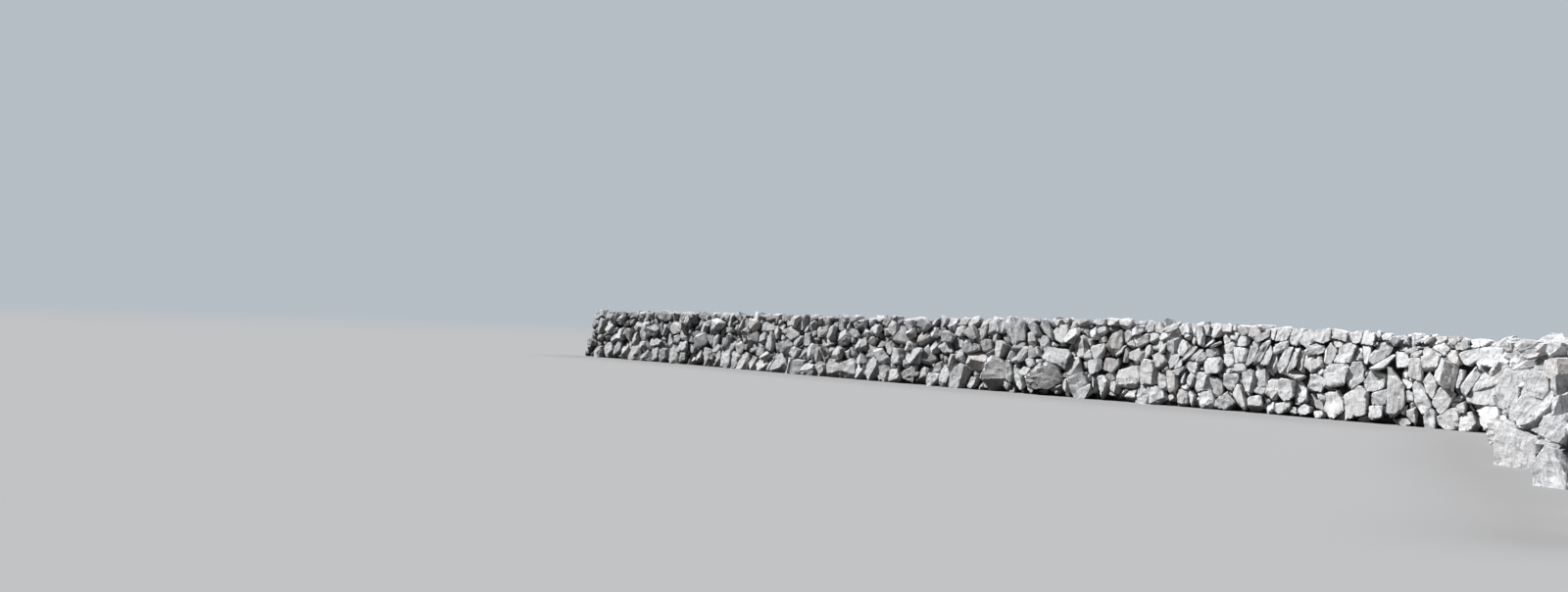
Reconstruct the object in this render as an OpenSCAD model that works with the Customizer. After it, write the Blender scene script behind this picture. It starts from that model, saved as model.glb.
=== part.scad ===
// Chest-high field wall of dry limestone, in two straight runs that meet at a corner.
// Millimetres, +Z up. The origin is on the ground at the corner, where the two centre lines meet.
// The long run lies along -X from the corner to the wall head. The return run comes forward, towards -Y.
// Every course is laid on a level seat, stands on the course below it, and has its own length of stone.

/* [Plan] */
// Length of the long run between the wall head and the corner, four bays long
long_run = 22600; // [12000:100:28000]
// Length of the return run between the corner and the face where the wall runs on, two bays long
return_run = 11300; // [6000:100:14000]
// Length of the wall head at the ground
head_length = 800; // [600:25:1500]
// How far the end of the wall head leans back at the height of the reference crest
head_rake = 420; // [0:10:500]
// Angle that the wall turns through at the corner, in degrees
corner_turn = 75; // [30:1:90]
// Radius of the centre line round the corner
corner_radius = 750; // [650:10:1500]
// Largest sideways wander of the long run from its straight line
wander = 70; // [0:5:120]
// Largest sideways wander of the return run, which bows forward first and then back
return_wander = 120; // [0:5:150]

/* [Section] */
// Width of the masonry at the ground
base_width = 780; // [650:10:1000]
// Width of the masonry at the reference crest
top_width = 460; // [350:10:600]
// How far the footing stones stand out past the faces of the wall
footing_step = 35; // [0:5:80]

/* [Courses] */
// Height of the boulder footing
footing_height = 430; // [300:10:500]
// Height of the first lift
first_lift_height = 370; // [250:10:400]
// Height of the second lift
second_lift_height = 330; // [250:10:360]

/* [Cope] */
// Height of the cope above the second lift at the wall head
cope_height_head = 220; // [180:10:400]
// Height of the cope a quarter of the way along the long run
cope_height_first_quarter = 300; // [200:10:500]
// Height of the cope halfway along the long run
cope_height_middle = 370; // [200:10:600]
// Height of the cope three quarters of the way along the long run
cope_height_last_quarter = 510; // [300:10:700]
// Height of the cope at the corner and along the return run, which gives the reference crest
cope_height_corner = 370; // [200:10:600]

/* [Stones] */
// Mean length of a footing boulder
footing_stone = 700; // [500:10:900]
// Mean length of a stone in the lifts
lift_stone = 460; // [350:10:600]
// Mean length of a cope stone
cope_stone = 380; // [300:10:500]
// How far the middle of a stone bulges out of the face
bulge = 45; // [10:5:60]
// How deep the joints between stones are cut back from the face
joint_recess = 35; // [10:5:50]
// How far the crest dips at the joints between cope stones
cope_dip = 110; // [40:5:140]

/* [Hidden] */
COURSES = ["footing", "first_lift", "second_lift", "cope"];
FOOTING = 0;
COPE = 3;
HEAD = 0;
LONG_BAYS = ["long_bay_1", "long_bay_2", "long_bay_3", "long_bay_4"];
RETURN_BAYS = ["return_bay_1", "return_bay_2"];
SEGMENTS = concat(["head"], LONG_BAYS, ["corner"], RETURN_BAYS);

// Distances along the centre line, from the foot of the wall head
corner_start = head_length + long_run;
corner_length = corner_radius * corner_turn * PI / 180;
corner_end = corner_start + corner_length;
tangent = corner_radius * tan(corner_turn / 2);

// Level seats between the courses; the cope has no seat above it
seats = [
    0,
    footing_height,
    footing_height + first_lift_height,
    footing_height + first_lift_height + second_lift_height
];
reference_crest = seats[COPE] + cope_height_corner;
stone_lengths = [footing_stone, lift_stone, lift_stone, cope_stone];
course_colours = ["#8f9092", "#a3a4a4", "#b0afac", "#bdbab5"];

// Heights of the cope along the wall
cope_table = [
    [0, cope_height_head],
    [corner_start / 4, cope_height_first_quarter],
    [corner_start / 2, cope_height_middle],
    [corner_start * 3 / 4, cope_height_last_quarter],
    [corner_start, cope_height_corner]
];

// Sides of the wall, as the sign of an offset across it
FRONT = -1;
BACK = 1;

// A stone is longer or shorter than the mean by up to this share of it
length_spread = 0.4;
// A joint leans by up to this share of the mean length, and one between cope stones by more
joint_lean = 0.22;
cope_lean = 0.45;
// The share of a joint's lean that goes back towards the wall head
backward_lean = 0.35;
// A stone's shoulders, as shares of its length
shoulders = [0.3, 0.74];
// The belly of a stone, where it stands out most, lies between these shares of its height
belly_least = 0.35;
belly_most = 0.65;
// The flattest stone bulges by this share of the bulge
flattest = 0.3;
// The share of the joint recess that a stone keeps at its seats
seat_recess = 0.33;
// Shares of the cope's dip that a cope stone can stand above the crest line, and lie below it
crest_rise = 0.6;
crest_fall = 0.5;
// The part of the top width that is left at the crest, between the rounded shoulders of the cope
crest_share = 0.5;

// What the repeatable chances of a stone are used for
LENGTH = 1;
LEAN = 2;
BELLY = 3;
FRONT_BULGE = 4;
BACK_BULGE = 5;
FRONT_CREST = 6;
BACK_CREST = 7;

// A repeatable number from 0 to 1 for one use of one stone
function chance(course, stone, use) = rands(0, 1, 1, 7919 * course + 31 * stone + 1013 * use)[0];

// A number between two limits, a share of the way from the first to the second
function between(low, high, share) = low + (high - low) * share;

// Running sums of a list, from 0 to the total
function running_sums(list) =
    [for (k = 0, sum = 0; k <= len(list); sum = sum + (k < len(list) ? list[k] : 0), k = k + 1) sum];

// How long each segment is, and where it starts along the wall
segment_lengths = concat(
    [head_length],
    [for (bay = LONG_BAYS) long_run / len(LONG_BAYS)],
    [corner_length],
    [for (bay = RETURN_BAYS) return_run / len(RETURN_BAYS)]
);
segment_starts = running_sums(segment_lengths);

// Sideways wander at a distance along the wall, nothing at the ends of each run
function wander_at(s) =
    s < corner_start ? wander * sin(540 * s / corner_start)
    : s > corner_end ? -return_wander * sin(360 * (s - corner_end) / return_run)
    : 0;

// Point in plan at a distance along the wall and an offset across it
function plan_point(s, across) =
    s <= corner_start
        ? [s - corner_start - tangent, across]
    : s < corner_end
        ? let (turned = corner_turn * (s - corner_start) / corner_length, r = corner_radius + across)
          [r * sin(turned) - tangent, r * cos(turned) - corner_radius]
    : let (run = tangent + s - corner_end)
      [
          run * cos(corner_turn) + across * sin(corner_turn),
          across * cos(corner_turn) - run * sin(corner_turn)
      ];

// Half the width of the battered masonry at a height
function half_width(z) = between(base_width, top_width, z / reference_crest) / 2;

// How far the end of the wall head has leant back at a height
function rake_at(z) = head_rake * z / reference_crest;

// A station is a place along a course where its cross-section is drawn, at a joint or on a stone
function station(place, lean, on_stone, stone) = [place, lean, on_stone, stone];
function place_of(station) = station[0];
function lean_of(station) = station[1];
function on_stone(station) = station[2];
function stone_of(station) = station[3];

// The stations of one course of one segment: its joints, and both shoulders of each stone
function stations(i, course) =
    let (
        start = segment_starts[i],
        length = segment_lengths[i],
        count = max(2, round(length / stone_lengths[course])),
        numbers = [for (k = [0:count]) 100 * i + k],
        weights = [for (k = [0:count - 1])
            between(1 - length_spread, 1 + length_spread, chance(course, numbers[k], LENGTH))],
        sums = running_sums(weights),
        joints = [for (sum = sums) start + length * sum / sums[count]],
        reach = (course == COPE ? cope_lean : joint_lean) * length / count,
        leans = [for (k = [0:count])
            k == 0 || k == count ? 0 : reach * (chance(course, numbers[k], LEAN) - backward_lean)]
    )
    [
        for (k = [0:count - 1])
            each [
                station(joints[k], leans[k], false, numbers[k]),
                for (share = shoulders)
                    station(
                        between(joints[k], joints[k + 1], share),
                        between(leans[k], leans[k + 1], share),
                        true,
                        numbers[k]
                    )
            ],
        station(joints[count], 0, false, numbers[count])
    ];

// One corner of a cross-section, leant with its joint and carried to its place along the wall
function corner_point(i, station, side, z, out, lean_share) =
    let (
        upright = place_of(station) + lean_of(station) * lean_share,
        s = i == HEAD ? upright + rake_at(z) * max(0, 1 - upright / head_length) : upright,
        plan = plan_point(s, wander_at(s) + side * (half_width(z) + out))
    )
    [plan[0], plan[1], z];

// How far a stone stands out of the face at its belly, or how far a joint lies behind it
function belly_out(course, station, use) =
    on_stone(station)
        ? bulge * between(flattest, 1, chance(course, stone_of(station), use))
        : -joint_recess;

// Height of the top of a course: its level seat, or the ragged crest of the cope
function head_height(course, station, use) =
    course < COPE
        ? seats[course + 1]
        : seats[COPE] + lookup(place_of(station), cope_table)
          + cope_dip * (on_stone(station)
              ? between(-crest_fall, crest_rise, chance(course, stone_of(station), use))
              : -1);

// The six corners of a cross-section: front foot, belly and head, then back head, belly and foot
function cross_section(i, course, station) =
    let (
        step = course == FOOTING ? footing_step : 0,
        foot = seats[course],
        front_head = head_height(course, station, FRONT_CREST),
        back_head = head_height(course, station, BACK_CREST),
        share = between(belly_least, belly_most, chance(course, stone_of(station), BELLY)),
        front_belly = between(foot, front_head, share),
        back_belly = between(foot, back_head, share),
        foot_out = step - joint_recess * (on_stone(station) ? seat_recess : 1),
        front_head_out = course < COPE ? foot_out : (crest_share - 1) * half_width(front_head),
        back_head_out = course < COPE ? foot_out : (crest_share - 1) * half_width(back_head)
    )
    [
        corner_point(i, station, FRONT, foot, foot_out, 0),
        corner_point(i, station, FRONT, front_belly, step + belly_out(course, station, FRONT_BULGE), 0.5),
        corner_point(i, station, FRONT, front_head, front_head_out, 1),
        corner_point(i, station, BACK, back_head, back_head_out, 1),
        corner_point(i, station, BACK, back_belly, step + belly_out(course, station, BACK_BULGE), 0.5),
        corner_point(i, station, BACK, foot, foot_out, 0)
    ];

// Closes a list of six-cornered cross-sections into one solid, with its end faces split level by level
module closed_run(sections) {
    sides = 6;
    last = (len(sections) - 1) * sides;
    skin = [
        for (r = [0:len(sections) - 2], k = [0:sides - 1])
            let (a = r * sides + k, b = r * sides + (k + 1) % sides)
            each [[a, b, b + sides], [a, b + sides, a + sides]]
    ];
    start_face = [[0, 5, 4], [0, 4, 1], [1, 4, 3], [1, 3, 2]];
    end_face = [for (f = start_face) [last + f[2], last + f[1], last + f[0]]];
    polyhedron(points = [for (section = sections) each section], faces = concat(skin, start_face, end_face));
}

// Masonry of one course through one segment of the wall
module masonry(i, course) {
    color(course_colours[course])
        closed_run([for (station = stations(i, course)) cross_section(i, course, station)]);
}

// Large weathered boulders, a little wider than the wall above
module footing(i) {
    masonry(i, FOOTING);
}

// One course of face stones, with the footing or the lift below as its bed
module lift(i, course) {
    masonry(i, course);
}

// Leaning slabs that close the top of the wall and give it a ragged crest
module cope(i) {
    masonry(i, COPE);
}

for (i = [0:len(SEGMENTS) - 1]) {
    footing(i);
    lift(i, 1);
    lift(i, 2);
    cope(i);
}
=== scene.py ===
"""Looks for a dry stone field wall: every course is dressed with its own boulders, slabs and pinning stones.

The wall is described in its own coordinates: s runs along the centre line from the wall head, across is
positive towards the back, and z is up. All lengths are metres unless a name says otherwise.
"""
import logging
import math
from dataclasses import dataclass, field
from enum import Enum

import bpy
import numpy as np
from mathutils import Matrix


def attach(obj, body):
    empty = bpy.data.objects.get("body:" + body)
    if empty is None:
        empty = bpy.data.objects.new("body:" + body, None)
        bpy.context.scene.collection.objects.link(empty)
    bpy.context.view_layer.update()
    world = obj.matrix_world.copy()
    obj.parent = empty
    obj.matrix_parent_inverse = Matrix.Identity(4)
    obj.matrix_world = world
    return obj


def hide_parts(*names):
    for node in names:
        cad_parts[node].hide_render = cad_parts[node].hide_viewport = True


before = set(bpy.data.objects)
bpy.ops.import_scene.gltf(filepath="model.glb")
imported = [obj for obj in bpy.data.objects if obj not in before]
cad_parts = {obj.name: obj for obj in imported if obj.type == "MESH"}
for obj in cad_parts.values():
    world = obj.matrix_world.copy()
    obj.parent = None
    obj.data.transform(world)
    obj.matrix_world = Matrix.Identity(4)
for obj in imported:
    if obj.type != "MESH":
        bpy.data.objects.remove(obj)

LOG = logging.getLogger("dry_stone_wall")
SEED = 1844
ROOT = "root"
UP = np.array([0.0, 0.0, 1.0])
FAR_AWAY = 1.0e6
MM_A_METRE = 1000.0
Socket = bpy.types.NodeSocket
# A mesh's edge is sharp where its faces turn by more than this
SHARP = math.radians(14.0)


class Side(Enum):
    """Which face of the wall a stone belongs to, as the sign of its offset across the wall."""

    FRONT = -1
    THROUGH = 0
    BACK = 1


class Course(Enum):
    """The courses of the wall from the ground up, by the ending of their nodes' names."""

    FOOTING = "footing"
    FIRST_LIFT = "first_lift"
    SECOND_LIFT = "second_lift"
    COPE = "cope"


@dataclass(frozen=True)
class WallPlan:
    """Plan and section of the wall, as the solids have them.

    The half waves are those of the sideways wander on the two runs. The crest of the return run lies low by
    the sag, which it reaches within the sag's length.
    """

    head_length: float = 0.8
    long_run: float = 22.6
    return_run: float = 11.3
    corner_turn: float = math.radians(75.0)
    corner_radius: float = 0.75
    head_rake: float = 0.42
    base_width: float = 0.78
    top_width: float = 0.46
    reference_crest: float = 1.5
    wander: float = 0.07
    return_wander: float = 0.12
    half_waves: tuple[float, float] = (3.0, 2.0)
    return_sag: float = 0.05
    sag_length: float = 1.0
    seats: tuple[float, ...] = (0.0, 0.43, 0.80, 1.13)
    crest_heights: tuple[float, ...] = (1.35, 1.43, 1.50, 1.64, 1.50)
    bays: tuple[str, ...] = ("long_bay_1", "long_bay_2", "long_bay_3", "long_bay_4")
    return_bays: tuple[str, ...] = ("return_bay_1", "return_bay_2")

    @property
    def corner_start(self) -> float:
        """Distance from the wall head to where the corner begins."""
        return self.head_length + self.long_run

    @property
    def corner_end(self) -> float:
        """Distance from the wall head to where the corner ends."""
        return self.corner_start + self.corner_radius * self.corner_turn

    @property
    def length(self) -> float:
        """Length of the whole centre line."""
        return self.corner_end + self.return_run

    @property
    def segments(self) -> tuple[str, ...]:
        """Names of the segments in order along the wall."""
        return ("head", *self.bays, "corner", *self.return_bays)

    @property
    def segment_starts(self) -> np.ndarray:
        """Where each segment starts along the wall, with the end of the wall last."""
        bays, returns = len(self.bays), len(self.return_bays)
        long_starts = self.head_length + self.long_run * np.arange(bays) / bays
        return_starts = self.corner_end + self.return_run * np.arange(returns) / returns
        return np.concatenate([[0.0], long_starts, [self.corner_start], return_starts, [self.length]])

    def heading(self, s: np.ndarray) -> np.ndarray:
        """Angle that the centre line has turned through, which grows evenly round the corner."""
        share = (np.asarray(s, float) - self.corner_start) / (self.corner_end - self.corner_start)
        return self.corner_turn * np.clip(share, 0.0, 1.0)

    def sway(self, s: np.ndarray) -> np.ndarray:
        """Sideways wander: a sine with three half waves on the long run and two on the return run.

        Args:
            s: distances along the centre line.

        Returns:
            Offsets towards the back.
        """
        s = np.asarray(s, float)
        long_waves, return_waves = self.half_waves
        long_sway = self.wander * np.sin(long_waves * np.pi * s / self.corner_start)
        return_phase = return_waves * np.pi * (s - self.corner_end) / self.return_run
        return_sway = -self.return_wander * np.sin(return_phase)
        on_corner = (s >= self.corner_start) & (s <= self.corner_end)
        return np.where(on_corner, 0.0, np.where(s < self.corner_start, long_sway, return_sway))

    def along(self, s: np.ndarray) -> np.ndarray:
        """Unit vectors along the wall."""
        turn = self.heading(s)
        return np.stack([np.cos(turn), -np.sin(turn), np.zeros_like(turn)], -1)

    def backward(self, s: np.ndarray) -> np.ndarray:
        """Unit vectors across the wall, towards its back."""
        turn = self.heading(s)
        return np.stack([np.sin(turn), np.cos(turn), np.zeros_like(turn)], -1)

    def place(self, s: np.ndarray, across: np.ndarray, z: np.ndarray) -> np.ndarray:
        """Points in the row frame.

        The centre line is a straight run, an arc whose centre lies in front of the long run, and a second
        straight run that leaves the arc at the corner's turn.

        Args:
            s: distances along the centre line.
            across: offsets across it, positive at the back.
            z: heights.

        Returns:
            An array of points, one row each.
        """
        s, across, z = np.broadcast_arrays(np.asarray(s, float), across, z)
        tangent = self.corner_radius * math.tan(self.corner_turn / 2.0)
        before = np.minimum(s - self.corner_start, 0.0)
        after = np.maximum(s - self.corner_end, 0.0)
        radius = self.corner_radius + across + self.sway(s)
        turn = self.heading(s)
        x = before - tangent + radius * np.sin(turn) + after * np.cos(turn)
        y = radius * np.cos(turn) - self.corner_radius - after * np.sin(turn)
        return np.stack([x, y, z], -1)

    def half_width(self, z: np.ndarray) -> np.ndarray:
        """Half the width of the masonry, which narrows evenly from the ground up."""
        return (self.base_width - (self.base_width - self.top_width) * z / self.reference_crest) / 2.0

    def crest(self, s: np.ndarray) -> np.ndarray:
        """Height of the crest, straight between the long run's quarters and a little low past the corner.

        Args:
            s: distances along the centre line.

        Returns:
            Heights.
        """
        quarters = np.linspace(0.0, self.corner_start, len(self.crest_heights))
        sag = np.interp(s, [self.corner_start, self.corner_end + self.sag_length], [0.0, self.return_sag])
        return np.interp(s, quarters, self.crest_heights) - sag

    def rake(self, z: np.ndarray) -> np.ndarray:
        """How far the end of the wall head has leant back, in proportion to the height."""
        return self.head_rake * z / self.reference_crest


@dataclass(frozen=True)
class Viewpoint:
    """Where the photograph was taken from, and the lens.

    The view is turned by the yaw to the left of +Y, raised by the pitch and rolled clockwise.
    """

    place: tuple[float, float, float] = (4.194, -21.902, 1.325)
    yaw: float = math.radians(42.989)
    pitch: float = math.radians(1.162)
    roll: float = math.radians(2.484)
    focal_pixels: float = 1200.0
    image_width: float = 1600.0
    image_height: float = 604.0
    sensor_mm: float = 36.0
    clip_end: float = 1000.0

    def axes(self) -> np.ndarray:
        """Right, up and backward vectors of the camera, as columns."""
        ahead = np.array([-math.sin(self.yaw) * math.cos(self.pitch),
                          math.cos(self.yaw) * math.cos(self.pitch), math.sin(self.pitch)])
        level = np.array([math.cos(self.yaw), math.sin(self.yaw), 0.0])
        upright = np.cross(level, ahead)
        right = math.cos(self.roll) * level + math.sin(self.roll) * upright
        up = -math.sin(self.roll) * level + math.cos(self.roll) * upright
        return np.stack([right, up, -ahead], 1)

    def pixels(self, points: np.ndarray) -> np.ndarray:
        """Where points appear in the photograph.

        Args:
            points: points in the row frame, one row each.

        Returns:
            Rows of x to the right and y down, in pixels, and the depth in metres.
        """
        seen = (points - np.array(self.place)) @ self.axes()
        depth = -seen[..., 2]
        x = self.image_width / 2.0 + self.focal_pixels * seen[..., 0] / depth
        y = self.image_height / 2.0 - self.focal_pixels * seen[..., 1] / depth
        return np.stack([x, y, depth], -1)

    def make_camera(self) -> None:
        """Makes the camera and gives it to the scene."""
        data = bpy.data.cameras.new("viewpoint")
        data.sensor_fit = "HORIZONTAL"
        data.sensor_width = self.sensor_mm
        data.lens = self.sensor_mm * self.focal_pixels / self.image_width
        data.clip_end = self.clip_end
        camera = bpy.data.objects.new("viewpoint", data)
        pose = np.eye(4)
        pose[:3, :3] = self.axes()
        pose[:3, 3] = self.place
        camera.matrix_world = Matrix(pose.tolist())
        bpy.context.scene.collection.objects.link(camera)
        bpy.context.scene.camera = camera


@dataclass(frozen=True)
class SeenStone:
    """A stone that stands out in the photograph, by the place, size and lean that it has there, in pixels.

    The lean is in degrees from the upright, positive where the top leans to the right. The turn swings the
    stone's face about the upright, positive to the right. The shade is how much paler it is than the stones
    about it: partly its own tone, and partly painted shadow, since the most negative shades go to stones that
    lie in shadow, most of them set back. The proud is how far it stands out of the face, in metres.
    """

    x: float
    y: float
    width: float
    height: float
    lean: float = 0.0
    turn: float = 0.0
    shade: float = 0.0
    proud: float = 0.03
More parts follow.
